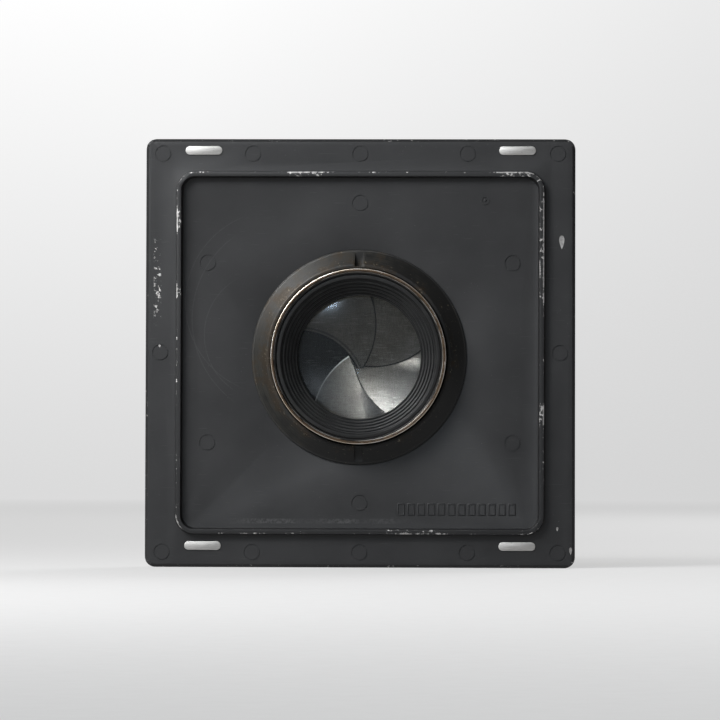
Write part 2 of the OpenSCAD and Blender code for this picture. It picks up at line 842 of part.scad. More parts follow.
module speed_ring() {
    color([0.14, 0.14, 0.15]) turned() difference() {
        layer(speed_z, speed_t) annulus(speed_out, speed_in);
        around(knurls) translate([speed_out + 0.4, 0, front_z + 0.6])
            cylinder(r = 0.9, h = speed_t + 1, $fn = 24);
        translate([0, 0, front_z - 1]) linear_extrude(1.4) arc_band(45 * unit, 43 * unit, 60, 120);
    }
}

// Hub that the speed ring turns on, with a thin collar to keep it in place.
module speed_hub() {
    color([0.7, 0.7, 0.72]) turned() {
        layer(cover_z - cover_t, speed_t + 2 * face_gap) annulus(hub_out, tube_in);
        layer(front_z - face_gap, 0.8) annulus(hub_out + 2, tube_in);
    }
}

front_seat_z = front_z - face_gap - 0.8;
nose_z = front_seat_z - front_l;
nose_r = 40 * unit;
filter_r = 38.5 * unit;
filter_l = 3.4;
name_r = filter_r - 0.8;
front_glass_r = 33 * unit;
front_view_r = 31 * unit;

module front_barrel() {
    thread_l = 9;
    color([0.1, 0.1, 0.1]) turned() rotate_extrude() polygon([
        [tube_in - thread_gap, front_seat_z + thread_l], [tube_in - thread_gap, front_seat_z],
        [hub_out + 1.6, front_seat_z], [hub_out + 1.6, front_seat_z - 4], [nose_r, front_seat_z - 9],
        [nose_r, nose_z + 0.5], [nose_r - 0.5, nose_z], [filter_r, nose_z], [filter_r, nose_z + filter_l],
        [name_r, nose_z + filter_l], [name_r, nose_z + 6],
        [front_glass_r + thread_gap, nose_z + 6], [front_glass_r + thread_gap, nose_z + 12],
        [seat_r, nose_z + 12], [seat_r, front_seat_z + thread_l - 5.5],
        [seat_r + 1, front_seat_z + thread_l - 5.5], [seat_r + 1, front_seat_z + thread_l]]);
}

module mirrored_z(z) {
    translate([0, 0, z]) mirror([0, 0, 1]) children();
}

module front_element_outer() {
    color([0.82, 0.88, 0.9, 0.35]) turned() mirrored_z(nose_z + 12) domed(front_glass_r, 0, 3, 2.6);
}

module front_element_inner() {
    color([0.82, 0.88, 0.9, 0.35]) turned()
        translate([0, 0, front_seat_z + thread_front]) cylinder(r = seat_r + 1 - thread_gap, h = 3);
}

thread_front = 3.5;

module front_lock_ring() {
    color([0.1, 0.1, 0.1]) turned() layer(front_seat_z + thread_front + 4.2, 1.2)
        annulus(seat_r + 1 - thread_gap, seat_r - 1);
}

// Blank name ring: the front element's retainer, dished and grooved.
module name_ring() {
    z = nose_z + 6;
    color([0.1, 0.1, 0.1]) turned() rotate_extrude() polygon([
        [front_view_r, z + 0.6], [front_glass_r + thread_gap, z], [name_r - thread_gap, z],
        [name_r - thread_gap, z - 2.5], [name_r - 1, z - 2.5], [name_r - 1.5, z - 2],
        [front_view_r + 1, z - 0.8], [front_view_r, z - 0.4]]);
}

lens_board();
retaining_ring();
locating_pin();
rear_barrel();
rear_baffle();
rear_element_outer();
rear_element_inner();
rear_lock_ring();
case_back();
case_shell();
sector_plate();
works_plate();
cover_plate();
case_screws();
iris_leaf_1();
iris_leaf_2();
iris_leaf_3();
iris_leaf_4();
iris_leaf_5();
iris_leaf_6();
iris_leaf_7();
iris_ring();
shutter_blade_1();
shutter_blade_2();
shutter_blade_3();
shutter_blade_4();
shutter_blade_5();
blade_posts();
blade_ring();
view_lever();
retard_sector();
retard_wheel();
star_wheel();
pallet();
arbors_and_posts();
main_spring();
cocking_lever();
release_lever();
cable_socket();
sync_socket();
speed_ring();
speed_hub();
front_barrel();
front_element_outer();
front_element_inner();
front_lock_ring();
name_ring();
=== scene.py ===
"""Looks for a square lens board that carries a lens in a leaf shutter.

Sizes are in millimetres until a mesh is finished, and each finished mesh is in metres.
A turned piece is given as (radius, height) points, with height measured to the rear, along -Y.
"""

import json
import math

import bpy
from mathutils import Matrix, Quaternion, Vector


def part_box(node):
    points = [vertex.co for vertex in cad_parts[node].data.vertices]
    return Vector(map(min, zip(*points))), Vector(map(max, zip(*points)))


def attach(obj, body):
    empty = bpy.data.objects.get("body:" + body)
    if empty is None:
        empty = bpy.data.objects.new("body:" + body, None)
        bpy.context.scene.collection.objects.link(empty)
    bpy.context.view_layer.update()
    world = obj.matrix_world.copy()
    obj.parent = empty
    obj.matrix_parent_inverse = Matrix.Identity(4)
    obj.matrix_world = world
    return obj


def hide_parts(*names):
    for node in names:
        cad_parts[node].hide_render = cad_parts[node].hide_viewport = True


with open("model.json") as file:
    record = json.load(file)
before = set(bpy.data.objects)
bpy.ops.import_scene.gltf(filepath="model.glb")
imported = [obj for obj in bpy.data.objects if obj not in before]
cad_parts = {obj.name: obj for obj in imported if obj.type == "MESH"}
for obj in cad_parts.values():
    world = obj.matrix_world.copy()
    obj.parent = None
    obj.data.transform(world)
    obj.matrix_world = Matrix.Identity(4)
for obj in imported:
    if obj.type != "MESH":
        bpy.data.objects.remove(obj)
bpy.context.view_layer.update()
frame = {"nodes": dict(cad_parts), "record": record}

MM = 0.001
SHUTTER = "board_and_case"


# ---------------------------------------------------------------- shader maths

class Wire:
    """A socket that can be used in an expression. Each operation adds its Math node."""

    def __init__(self, finish, socket):
        self.finish = finish
        self.socket = socket

    def math(self, operation, *others):
        values = [self, *others]
        return self.finish.add("ShaderNodeMath", {"operation": operation}, dict(enumerate(values)))

    def __add__(self, other):
        return self.math("ADD", other)

    __radd__ = __add__

    def __sub__(self, other):
        return self.math("SUBTRACT", other)

    def __rsub__(self, other):
        return self.finish.add("ShaderNodeMath", {"operation": "SUBTRACT"}, {0: other, 1: self})

    def __mul__(self, other):
        return self.math("MULTIPLY", other)

    __rmul__ = __mul__

    def __truediv__(self, other):
        return self.math("DIVIDE", other)

    def __abs__(self):
        return self.math("ABSOLUTE")

    def above(self, edge, soft):
        """0 under edge - soft, 1 over edge + soft, smooth between."""
        return self.finish.add("ShaderNodeMapRange", {"interpolation_type": "SMOOTHSTEP"},
                               {0: self, 1: edge - soft, 2: edge + soft, 3: 0.0, 4: 1.0})

    def below(self, edge, soft):
        return 1 - self.above(edge, soft)

    def span(self, low, high, out_low, out_high):
        return self.finish.add("ShaderNodeMapRange", {"clamp": True},
                               {0: self, 1: low, 2: high, 3: out_low, 4: out_high})

    def greater(self, other):
        return self.math("MAXIMUM", other)

    def lesser(self, other):
        return self.math("MINIMUM", other)


class Finish:
    """One material: a Principled shader and the nodes that feed it, on Object coordinates in millimetres."""

    def __init__(self, name, **constants):
        self.material = bpy.data.materials.new(name)
        self.material.use_nodes = True
        self.tree = self.material.node_tree
        self.shader = self.tree.nodes["Principled BSDF"]
        for socket, value in constants.items():
            self.shader.inputs[socket.replace("_", " ")].default_value = value
        coordinates = self.tree.nodes.new("ShaderNodeTexCoord")
        self.place = self.vector("SCALE", Wire(self, coordinates.outputs["Object"]), scale=1 / MM)
        split = self.tree.nodes.new("ShaderNodeSeparateXYZ")
        self.tree.links.new(self.place.socket, split.inputs[0])
        self.x, self.y, self.z = (Wire(self, out) for out in split.outputs)
        self.rear = self.y * -1.0
        self.radius = (self.x * self.x + self.z * self.z).math("SQRT")

    def add(self, kind, settings=None, inputs=None, output=0):
        """Adds a node, sets its settings, then its sockets, each to a value or a link."""
        node = self.tree.nodes.new(kind)
        for name, value in (settings or {}).items():
            if name == "stops":
                self.set_stops(node.color_ramp, value)
            else:
                setattr(node, name, value)
        for name, value in (inputs or {}).items():
            if isinstance(value, Wire):
                self.tree.links.new(value.socket, node.inputs[name])
            else:
                node.inputs[name].default_value = value
        return Wire(self, node.outputs[output])

    @staticmethod
    def set_stops(ramp, stops):
        while len(ramp.elements) < len(stops):
            ramp.elements.new(0.5)
        for element, (position, colour) in zip(ramp.elements, stops):
            element.position = position
            element.color = (*colour, 1)

    def vector(self, operation, a, b=None, scale=None):
        inputs = {0: a}
        if b is not None:
            inputs[1] = b
        if scale is not None:
            inputs["Scale"] = scale
        return self.add("ShaderNodeVectorMath", {"operation": operation}, inputs)

    def noise(self, size, detail=3.0, rough=0.55, stretch=(1, 1, 1), turn=0.0, shift=(0, 0, 0)):
        """Noise whose features are about size millimetres across, longer where stretch is larger."""
        scale = tuple(1 / (size * s) for s in stretch)
        turned = self.add("ShaderNodeMapping", {"vector_type": "POINT"},
                          {0: self.place, 1: shift, 2: (0, turn, 0), 3: scale})
        return self.add("ShaderNodeTexNoise", {"noise_dimensions": "3D"},
                        {"Vector": turned, "Scale": 1.0, "Detail": detail, "Roughness": rough})

    def grains(self, size, shift=(0, 0, 0)):
        """Distance to the nearest of a scatter of points about size millimetres apart."""
        placed = self.add("ShaderNodeMapping", {"vector_type": "POINT"}, {0: self.place, 1: shift})
        return self.add("ShaderNodeTexVoronoi", {"feature": "F1"}, {"Vector": placed, "Scale": 1 / size})

    def hairlines(self, length, turn, share, shift=(0, 0, 0)):
        """Fine scratches about length millimetres long, lying at the angle turn in the board's plane."""
        width = 0.09
        line = self.noise(1.0, 1.0, 0.4, (length, 30.0, width * 3), turn, shift)
        patch = self.noise(length * 0.8, 1.0, 0.5, shift=shift)
        return line.above(1 - share, 0.02) * patch.above(0.52, 0.06)

    def mix(self, factor, a, b):
        """Colour a where factor is 0, b where it is 1."""
        a, b = (c if isinstance(c, Wire) else (*c, 1) for c in (a, b))
        return self.add("ShaderNodeMix", {"data_type": "RGBA"}, {0: factor, 6: a, 7: b}, 2)

    def feed(self, **sockets):
        for socket, value in sockets.items():
            self.tree.links.new(value.socket, self.shader.inputs[socket.replace("_", " ")])
        return self

    def bump(self, height, depth, strength=1.0):
        """Bends the normal by height times depth millimetres."""
        bent = self.add("ShaderNodeBump", {},
                        {"Height": height, "Distance": depth * MM, "Strength": strength})
        return self.feed(Normal=bent)


# ---------------------------------------------------------------- shaping

def clear():
    bpy.ops.object.select_all(action="DESELECT")


def only(obj):
    clear()
    obj.select_set(True)
    bpy.context.view_layer.objects.active = obj
    return obj


def editing(mode="EDGE"):
    bpy.ops.object.mode_set(mode="EDIT")
    bpy.ops.mesh.select_mode(type=mode)


def done():
    bpy.ops.object.mode_set(mode="OBJECT")


def choose(obj, kind, test):
    """In edit mode, selects the faces or edges whose middle and direction pass the test."""
    bpy.ops.mesh.select_all(action="DESELECT")
    done()
    mesh = obj.data
    for part in getattr(mesh, kind):
        middle = sum((mesh.vertices[v].co for v in part.vertices), Vector()) / len(part.vertices)
        if kind == "edges":
            a, b = (mesh.vertices[v].co for v in part.vertices)
            way = (b - a).normalized()
        else:
            way = part.normal
        part.select = test(middle / MM, way)
    bpy.ops.object.mode_set(mode="EDIT")


def settle(obj, angle=35):
    """Leaves the object at the origin with its place in its mesh, normals outward and soft shading."""
    only(obj)
    bpy.ops.object.transform_apply(location=True, rotation=True, scale=True)
    editing("VERT")
    bpy.ops.mesh.select_all(action="SELECT")
    bpy.ops.mesh.remove_doubles(threshold=1e-6)
    bpy.ops.mesh.normals_make_consistent(inside=False)
    done()
    bpy.ops.object.shade_smooth_by_angle(angle=math.radians(angle))
    return obj


def apply(obj, kind, **settings):
    only(obj)
    modifier = obj.modifiers.new(kind.title(), kind)
    for name, value in settings.items():
        setattr(modifier, name, value)
    bpy.ops.object.modifier_apply(modifier=modifier.name)


def cut(obj, cutter, operation="DIFFERENCE"):
    """Cuts obj by cutter, or joins the two, and throws the cutter away."""
    apply(obj, "BOOLEAN", operation=operation, object=cutter, solver="EXACT")
    bpy.data.objects.remove(cutter)


def soften(obj, width, segments=2, angle=40):
    apply(obj, "BEVEL", width=width * MM, segments=segments, limit_method="ANGLE",
          angle_limit=math.radians(angle), harden_normals=False, use_clamp_overlap=True)


def rounded(profile, radius, steps=3):
    """The profile with each corner rounded off, by less where its sides are short."""
    count = len(profile)
    points = []
    for i, corner in enumerate(profile):
        here = Vector(corner)
        back = Vector(profile[i - 1]) - here
        on = Vector(profile[(i + 1) % count]) - here
        reach = min(radius, back.length * 0.45, on.length * 0.45)
        start, end = here + back.normalized() * reach, here + on.normalized() * reach
        for k in range(steps + 1):
            t = k / steps
            points.append(start * (1 - t) ** 2 + here * 2 * t * (1 - t) + end * t ** 2)
    return [tuple(p) for p in points]


def turned(name, profile, radius=0.25, steps=2, segments=160, solid=False):
    """A piece turned on the lens axis: a ring of points, extruded and resized along the profile.
    A solid piece's profile starts and ends near the axis, and its two ends are closed by a face."""
    points = profile if radius == 0 else rounded(profile, radius, steps)
    clear()
    first_r, first_h = points[0]
    bpy.ops.mesh.primitive_circle_add(vertices=segments, radius=first_r * MM, fill_type="NOTHING",
                                      location=(0, -first_h * MM, 0), rotation=(math.pi / 2, 0, 0))
    obj = bpy.context.object
    obj.name = name
    bpy.ops.object.transform_apply(location=True, rotation=True, scale=True)
    editing("EDGE")
    bpy.ops.mesh.select_all(action="SELECT")
    if solid:
        bpy.ops.mesh.edge_face_add()
        bpy.ops.mesh.select_all(action="SELECT")
    path = points[1:] if solid else points[1:] + points[:1]
    last_r, last_h = first_r, first_h
    for r, h in path:
        bpy.ops.mesh.extrude_edges_move(TRANSFORM_OT_translate={"value": (0, (last_h - h) * MM, 0)})
        k = r / last_r
        bpy.ops.transform.resize(value=(k, 1, k), center_override=(0, 0, 0))
        last_r, last_h = r, h
    if solid:
        bpy.ops.mesh.edge_face_add()
    done()
    return settle(obj)


def block(name, size, middle, corner=0.0, segments=8):
    """Box of size (x, rear-to-front, z) with its four upright corners rounded in the board's plane."""
    clear()
    bpy.ops.mesh.primitive_cube_add(size=1, location=Vector(middle) * MM, scale=Vector(size) * MM)
    obj = bpy.context.object
    obj.name = name
    bpy.ops.object.transform_apply(location=True, rotation=True, scale=True)
    if corner:
        editing("EDGE")
        choose(obj, "edges", lambda middle, way: abs(way.y) > 0.9)
        bpy.ops.mesh.bevel(offset=corner * MM, segments=segments, affect="EDGES")
        done()
    return obj


def rod(name, radius, length, middle, direction=(0, 1, 0), vertices=48):
    """Round bar centred on middle, lying along direction."""
    clear()
    tilt = Vector(direction).to_track_quat("Z", "Y").to_euler()
    bpy.ops.mesh.primitive_cylinder_add(vertices=vertices, radius=radius * MM, depth=length * MM,
                                        location=Vector(middle) * MM, rotation=tilt)
    obj = bpy.context.object
    obj.name = name
    bpy.ops.object.transform_apply(location=True, rotation=True, scale=True)
    return obj


def swung(obj, degrees, centre=(0, 0)):
    """Turns a piece about the lens axis, or about another line along it, from +x towards +z."""
    only(obj)
    place = Vector((centre[0], 0, centre[1])) * MM
    turn = Matrix.Rotation(-math.radians(degrees), 4, "Y")
    obj.matrix_world = Matrix.Translation(place) @ turn @ Matrix.Translation(-place)
    bpy.ops.object.transform_apply(location=True, rotation=True, scale=True)
    return obj


def arc_piece(name, profile, start, end, segments=192):
    """The part of a turned ring between two angles less than half a turn apart."""
    obj = turned(name, profile, 0, 0, segments)
    for degrees, side in ((start, 1), (end, -1)):
        only(obj)
        editing("EDGE")
        bpy.ops.mesh.select_all(action="SELECT")
        a = math.radians(degrees)
        bpy.ops.mesh.bisect(plane_co=(0, 0, 0), plane_no=(-math.sin(a) * side, 0, math.cos(a) * side),
                            use_fill=True, clear_inner=True)
        done()
    return settle(obj)


def ring_of(name, outer, inner, rear, front, segments=160, radius=0.0):
    return turned(name, [(inner, rear), (outer, rear), (outer, front), (inner, front)], radius, 2, segments)


def flute(obj, count, radius, reach, rear, front):
    """Cuts count round grooves of the given radius into a turned piece at the radius reach."""
    cutters = []
    for i in range(count):
        place = polar(reach, i * 360 / count)
        middle = (place.x, -(rear + front) / 2, place.y)
        cutters.append(rod("flute", radius, rear - front, middle, vertices=10))
    cut(obj, joined("flutes", cutters))


def joined(name, pieces):
    clear()
    for piece in pieces:
        piece.select_set(True)
    bpy.context.view_layer.objects.active = pieces[0]
    if len(pieces) > 1:
        bpy.ops.object.join()
    pieces[0].name = name
    return pieces[0]


def fitted(obj, finish, body, slot_name, *nodes):
    """Gives the piece its finish, says what it rides on, and hides the frame's nodes that it stands for."""
    obj.data.materials.clear()
    obj.data.materials.append(finish.material)
    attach(obj, body)
    if nodes:
        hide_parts(*nodes)
    return obj


def span(node):
    """(outer radius, rear end, front end) of a round CAD node, heights to the rear."""
    low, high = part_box(node)
    return (high.x - low.x) / 2 / MM, -low.y / MM, -high.y / MM


def polar(radius, degrees):
    return Vector((radius * math.cos(math.radians(degrees)), radius * math.sin(math.radians(degrees))))


# ---------------------------------------------------------------- finishes

def outline_distance(f, middle, half_w, half_h, corner):
    """Distance outside the rounded rectangle in the board's plane, negative inside it."""
    px = abs(f.x - middle[0]) - (half_w - corner)
    pz = abs(f.z - middle[1]) - (half_h - corner)
    ox, oz = px.greater(0.0), pz.greater(0.0)
    return (ox * ox + oz * oz).math("SQRT") + px.greater(pz).lesser(0.0) - corner


def near(f, x, z, half_x, half_z):
    """1 round the place (x, z), fading out at half_x and half_z from it."""
    dx = abs(f.x - x) / half_x
    dz = abs(f.z - z) / half_z
    return dx.greater(dz).below(0.85, 0.3)


def board_paint():
    """Semi-matt black on cast metal, rubbed through to bright metal on the light trap and the edges."""
    f = Finish("board_paint", Metallic=0.0, Specular_IOR_Level=0.5)
    outer = outline_distance(f, board_mid, ridge_half[0], ridge_half[1], 7.0)
    inner = outline_distance(f, board_mid, ridge_half[0] - 2.5, ridge_half[1] - 2.5, 5.0)
    high = f.rear.above(ridge_top - 0.9, 0.25)
    outer_arris = abs(outer + 0.55).below(0.34, 0.16) * high
    inner_arris = abs(inner - 0.25).below(0.26, 0.14) * high
    crest = abs(outer + 1.4).below(0.8, 0.3) * f.rear.above(ridge_top - 0.3, 0.15)
    rim = abs(outline_distance(f, board_mid, board_half[0], board_half[1], 4.0)).below(0.8, 0.4)
    chip = f.noise(1.3, 4.0, 0.7, shift=(3, 0, 7))
    coarse = f.noise(17.0, 3.0, 0.55, shift=(11, 0, 2))
    rubbed = 0.0
    for place in rubbed_places:
        rubbed = near(f, *place).greater(rubbed)
    wear = outer_arris * (chip * 0.7 + coarse * 0.5 + rubbed * 0.16).above(0.705, 0.04)
    wear = wear.greater(inner_arris * (chip * 0.6 + coarse * 0.6 + rubbed * 0.10).above(0.76, 0.04) * 0.7)
    wear = wear.greater(crest * (chip + rubbed * 0.17 + coarse * 0.1).above(0.79, 0.02) * 0.8)
    wear = wear.greater(rim * (chip + coarse * 0.28).above(0.80, 0.03) * 0.8)
    rear_face = f.rear.above(-2.0, 0.3)
    for x, z, half_x, half_z in chips:
        wide = 1 + f.z.span(z - half_z, z + half_z, -0.7, 0.3)
        spot = ((f.x - x) / (half_x * wide)).math("POWER", 2.0) + ((f.z - z) / half_z).math("POWER", 2.0)
        wear = wear.greater((spot + chip * 0.5).below(1.1, 0.15) * rear_face * 0.9)
    specks = near(f, -74.3, 29.0, 1.4, 16.0) * (chip * 0.9 + coarse * 0.2).above(0.635, 0.03)
    wear = wear.greater(specks * rear_face)
    dust = f.grains(2.3).below(0.055, 0.02) * f.noise(9.0, 2.0).above(0.55, 0.05)
    lines = f.hairlines(9.0, 0.5, 0.27).greater(f.hairlines(6.0, -0.9, 0.26, (5, 1, 9)))
    streaks = f.hairlines(14.0, 1.5, 0.27, (2, 2, 2))
    marks = (lines.greater(streaks) * 0.35).greater(dust * 0.8)
    for x, z, radius, start in sweeps:
        gap = (((f.x - x) * (f.x - x) + (f.z - z) * (f.z - z)).math("SQRT") - radius)
        arc = abs(gap).below(0.16, 0.1) * f.x.below(start, 3.0) * chip.above(0.42, 0.1)
        marks = marks.greater(arc * rear_face * 0.22)
    scuff = near(f, -15.0, -60.3, 32.0, 1.0) * chip.above(0.5, 0.1) * coarse.above(0.45, 0.1)
    marks = marks.greater(scuff * rear_face * 0.6)
    cloud = f.noise(26.0, 4.0, 0.6)
    fine = f.noise(0.55, 2.0, 0.6)
    paint = f.mix(cloud.span(0.3, 0.7, 0.0, 1.0), (0.013, 0.0131, 0.0138), (0.021, 0.0211, 0.022))
    # Painted shade: the paint darkens toward near black over a band about 3 mm wide that covers the light
    # trap, its walls and its outer foot.
    paint = f.mix(abs(outer + 1.3).below(1.5, 0.3) * 0.6, paint, (0.006, 0.006, 0.0065))
    paint = f.mix(marks * 0.5, paint, (0.14, 0.14, 0.14))
    metal = f.mix(chip.span(0.4, 0.8, 0.0, 1.0), (0.36, 0.35, 0.34), (0.75, 0.73, 0.71))
    f.feed(Base_Color=f.mix(wear, paint, metal),
           Roughness=(cloud * 0.12 + fine * 0.12 + 0.36) - marks * 0.05,
           Metallic=wear * 0.85)
    return f.bump(fine * 0.35 + cloud * 0.2 - wear * 0.5, 0.05)


def bare_pad():
    """Milled face of a seat pad: long cutter lines, a few dark nicks."""
    f = Finish("bare_pad", Metallic=0.85)
    mill = f.noise(1.0, 3.0, 0.6, (6.0, 6.0, 0.12))
    nick = f.noise(0.9, 3.0, 0.7).above(0.66, 0.03)
    tone = f.mix(mill.span(0.3, 0.7, 0.0, 1.0), (0.40, 0.39, 0.375), (0.64, 0.63, 0.61))
    f.feed(Base_Color=f.mix(nick * 0.7, tone, (0.2, 0.19, 0.18)), Roughness=mill * 0.25 + 0.38)
    return f.bump(mill, 0.03)


def turning_lines(f, pitch, depth_noise=0.4):
    """Fine rings left by the lathe: noise on radius and height alone."""
    ring = f.add("ShaderNodeCombineXYZ", {}, {0: f.radius / pitch, 1: f.rear / pitch, 2: 0.0})
    lines = f.add("ShaderNodeTexNoise", {"noise_dimensions": "2D"},
                  {"Vector": ring, "Scale": 1.0, "Detail": 2.0, "Roughness": 0.6})
    return lines * depth_noise + f.noise(5.0, 2.0) * (1 - depth_noise)


def ring_lacquer():
    """Black lacquer on brass, rubbed to brown and olive on the slope and bright at the corners, with the
    brown and olive pushed toward the upper left as a painted sheen.
    """
    f = Finish("ring_lacquer", Metallic=0.35)
    lines = turning_lines(f, 0.30, 0.75)
    patch = f.noise(6.0, 5.0, 0.7, shift=(1, 4, 2))
    fleck = f.noise(0.9, 4.0, 0.7, shift=(6, 1, 3))
    # Painted sheen: this weight grows toward the upper left, where the light falls, and lifts the brown and
    # olive tones there.
    upper_left_sheen = (f.x * -1.0 + f.z * 0.5).span(-20.0, 40.0, 0.0, 1.0)
    inner = f.radius.below(ring_r - 4.0, 1.5)
    # The worn brown is real wear, pushed toward the upper left by the painted sheen.
    worn = (patch + lines * 0.2 + upper_left_sheen * 0.14 + inner * 0.1).above(0.80, 0.09)
    # The olive tone is partly lacquer wear and partly painted sheen on the upper left.
    olive = (patch * 0.5 + lines * 0.5 + upper_left_sheen * 0.25).above(0.66, 0.10)
    bright = (fleck + patch * 0.25 + inner * 0.06).above(0.83, 0.04)
    base = f.mix(olive * 0.7, (0.006, 0.0058, 0.0054), (0.030, 0.029, 0.024))
    base = f.mix(worn * 0.55, base, (0.052, 0.036, 0.022))
    base = f.mix(bright * 0.6, base, (0.26, 0.23, 0.17))
    f.feed(Base_Color=base, Roughness=lines * 0.26 + patch * 0.16 + 0.26, Metallic=worn * 0.4 + 0.1)
    return f.bump(lines + fleck * 0.15, 0.05)


def barrel_lacquer():
    """The rear barrel: black inside, brown and worn outside, bare bright brass along its rim."""
    f = Finish("barrel_lacquer", Metallic=0.6)
    lines = turning_lines(f, 0.3)
    chip = f.noise(1.1, 4.0, 0.7, shift=(9, 2, 4))
    soft = f.noise(8.0, 2.0)
    top = f.rear.above(rim_top - 0.28, 0.1)
    edge = (abs(f.radius - (rim_r - 0.16)) + chip * 0.12).below(0.15, 0.04)
    edge = edge * f.rear.above(rim_top - 0.5, 0.15)
    second = (abs(f.radius - (rim_r - 1.2)) + chip * 0.18).below(0.20, 0.05)
    second = second * f.rear.above(rim_top - 0.9, 0.2)
    outside = f.radius.above(rim_r - 0.6, 0.2)
    bare = edge.greater(second * soft.above(0.44, 0.08) * 0.75)
    bare = bare.greater(outside * (chip + soft * 0.6).above(0.98, 0.05) * 0.7)
    brown = (outside * (lines + soft).above(0.86, 0.15)).greater(top * chip.above(0.45, 0.1))
    base = f.mix(brown, (0.008, 0.0075, 0.007), (0.085, 0.052, 0.028))
    metal = f.mix(soft.above(0.5, 0.12), (0.72, 0.62, 0.50), (0.80, 0.77, 0.72))
    f.feed(Base_Color=f.mix(bare, base, metal), Roughness=lines * 0.2 + 0.26, Metallic=bare * 0.7 + 0.3)
    return f.bump(lines, 0.03)


def baffle_black():
    """Matt black anodising, a little greyer along fine turned lines."""
    f = Finish("baffle_black", Metallic=0.0, Specular_IOR_Level=0.35)
    grain = f.noise(0.5, 3.0, 0.6)
    lines = turning_lines(f, 0.25)
    f.feed(Base_Color=f.mix(lines.span(0.35, 0.65, 0.0, 1.0), (0.005, 0.005, 0.005), (0.015, 0.015, 0.015)),
           Roughness=grain * 0.2 + 0.38)
    return f.bump(lines + grain * 0.3, 0.03)


# Blade steel: dull, clear and stained.
steel_tones = ((0.085, 0.075, 0.065), (0.175, 0.160, 0.145), (0.075, 0.062, 0.052))


def blade_steel(name, turn, lean, tone, lead, back, lead_edge_shadow, trail_shade_and_glint):
    """Thin darkened steel, dished by its own spring, with fine scratches each way and old stains.
    The blade's curved edges run round the points lead and back. Along the leading edge a painted shadow line
    is drawn with a fainter one inside it, and along the trailing edge a painted shadow line on most blades
    and a painted highlight on one. The steel's brightness is scaled by tone, which is painted light, and it
    is painted lighter toward the lower right as a sheen."""
    f = Finish(name, Metallic=1.0, Specular_IOR_Level=0.5)
    grain = f.noise(1.0, 3.0, 0.65, (2.5, 5.0, 0.22), turn)
    cross = f.noise(1.0, 3.0, 0.65, (0.25, 5.0, 2.0), turn + 0.6)
    stain = f.noise(9.0, 4.0, 0.6, shift=(turn * 3, 1, 2))
    line = f.hairlines(7.0, turn + 0.7, 0.30).greater(f.hairlines(5.0, turn - 0.4, 0.30, (4, 2, 1)))
    dot = f.grains(1.9, (turn, 0, 3)).below(0.07, 0.03) * stain.above(0.48, 0.06)
    # tone scales these colours blade by blade: painted light, lighter on the blades where the light falls.
    dull, clear_steel, stained = (tuple(c * tone for c in colour) for colour in steel_tones)
    base = f.mix((grain + cross).span(0.7, 1.3, 0.0, 1.0), dull, clear_steel)
    base = f.mix(stain.above(0.56, 0.12) * 0.5, base, stained)
    base = f.mix((line * 0.3).greater(dot * 0.5), base, (0.40, 0.39, 0.38))
    out = ((f.x - lead[0]) * (f.x - lead[0]) + (f.z - lead[1]) * (f.z - lead[1])).math("SQRT") - edge_r
    past = ((f.x - back[0]) * (f.x - back[0]) + (f.z - back[1]) * (f.z - back[1])).math("SQRT")
    # Painted sheen: the steel is lightened toward the lower right, where the light falls.
    lower_right_sheen = (f.x - f.z).span(6.0, 34.0, 0.0, 1.0) * (grain + cross).span(0.7, 1.2, 0.4, 1.0)
    base = f.mix(lower_right_sheen * 0.6, base, (0.27, 0.28, 0.30))
    # Painted light along the trailing edge: a shadow line on most blades, a highlight on one.
    base = f.mix(past.above(back_r - 0.45, 0.15) * 0.9, base, trail_shade_and_glint)
    # Painted shadow lines along the leading edge: one at the edge and a fainter one 1.6 mm inside it.
    base = f.mix(abs(out - 1.6).below(0.35, 0.15) * 0.6, base, (0.02, 0.018, 0.016))
    base = f.mix(out.below(0.65, 0.15) * 0.95, base, lead_edge_shadow)
    f.feed(Base_Color=base, Roughness=grain * 0.10 + stain * 0.10 + 0.24)
    dish = (f.x * f.x + f.z * f.z) * 0.0108
    return f.bump(dish + f.x * lean[0] + f.z * lean[1] + (grain + cross) * 0.006, 1.0)


def iris_steel():
    f = Finish("iris_steel", Metallic=0.7)
    grain = f.noise(0.8, 3.0, 0.6, (5.0, 1.0, 0.3))
    f.feed(Base_Color=f.mix(grain.span(0.3, 0.7, 0.0, 1.0), (0.022, 0.022, 0.025), (0.065, 0.065, 0.07)),
           Roughness=grain * 0.2 + 0.35)
    return f.bump(grain, 0.02)


def bright_steel():
    """Plated steel of levers, screws and sockets, brushed and a little dulled."""
    f = Finish("bright_steel", Metallic=1.0)
    brush = f.noise(1.0, 3.0, 0.6, (0.15, 3.0, 4.0))
    dull = f.noise(4.0, 3.0, 0.6)
    f.feed(Base_Color=f.mix(dull.above(0.5, 0.15), (0.48, 0.48, 0.49), (0.68, 0.68, 0.69)),
           Roughness=brush * 0.18 + dull * 0.12 + 0.16)
    return f.bump(brush, 0.02)


def clean_brass():
    f = Finish("clean_brass", Metallic=1.0)
    brush = f.noise(0.7, 3.0, 0.6, (3.0, 1.0, 0.3))
    dull = f.noise(5.0, 3.0, 0.6)
    f.feed(Base_Color=f.mix(dull.above(0.5, 0.15), (0.50, 0.36, 0.15), (0.74, 0.58, 0.28)),
           Roughness=brush * 0.2 + 0.24)
    return f.bump(brush, 0.02)


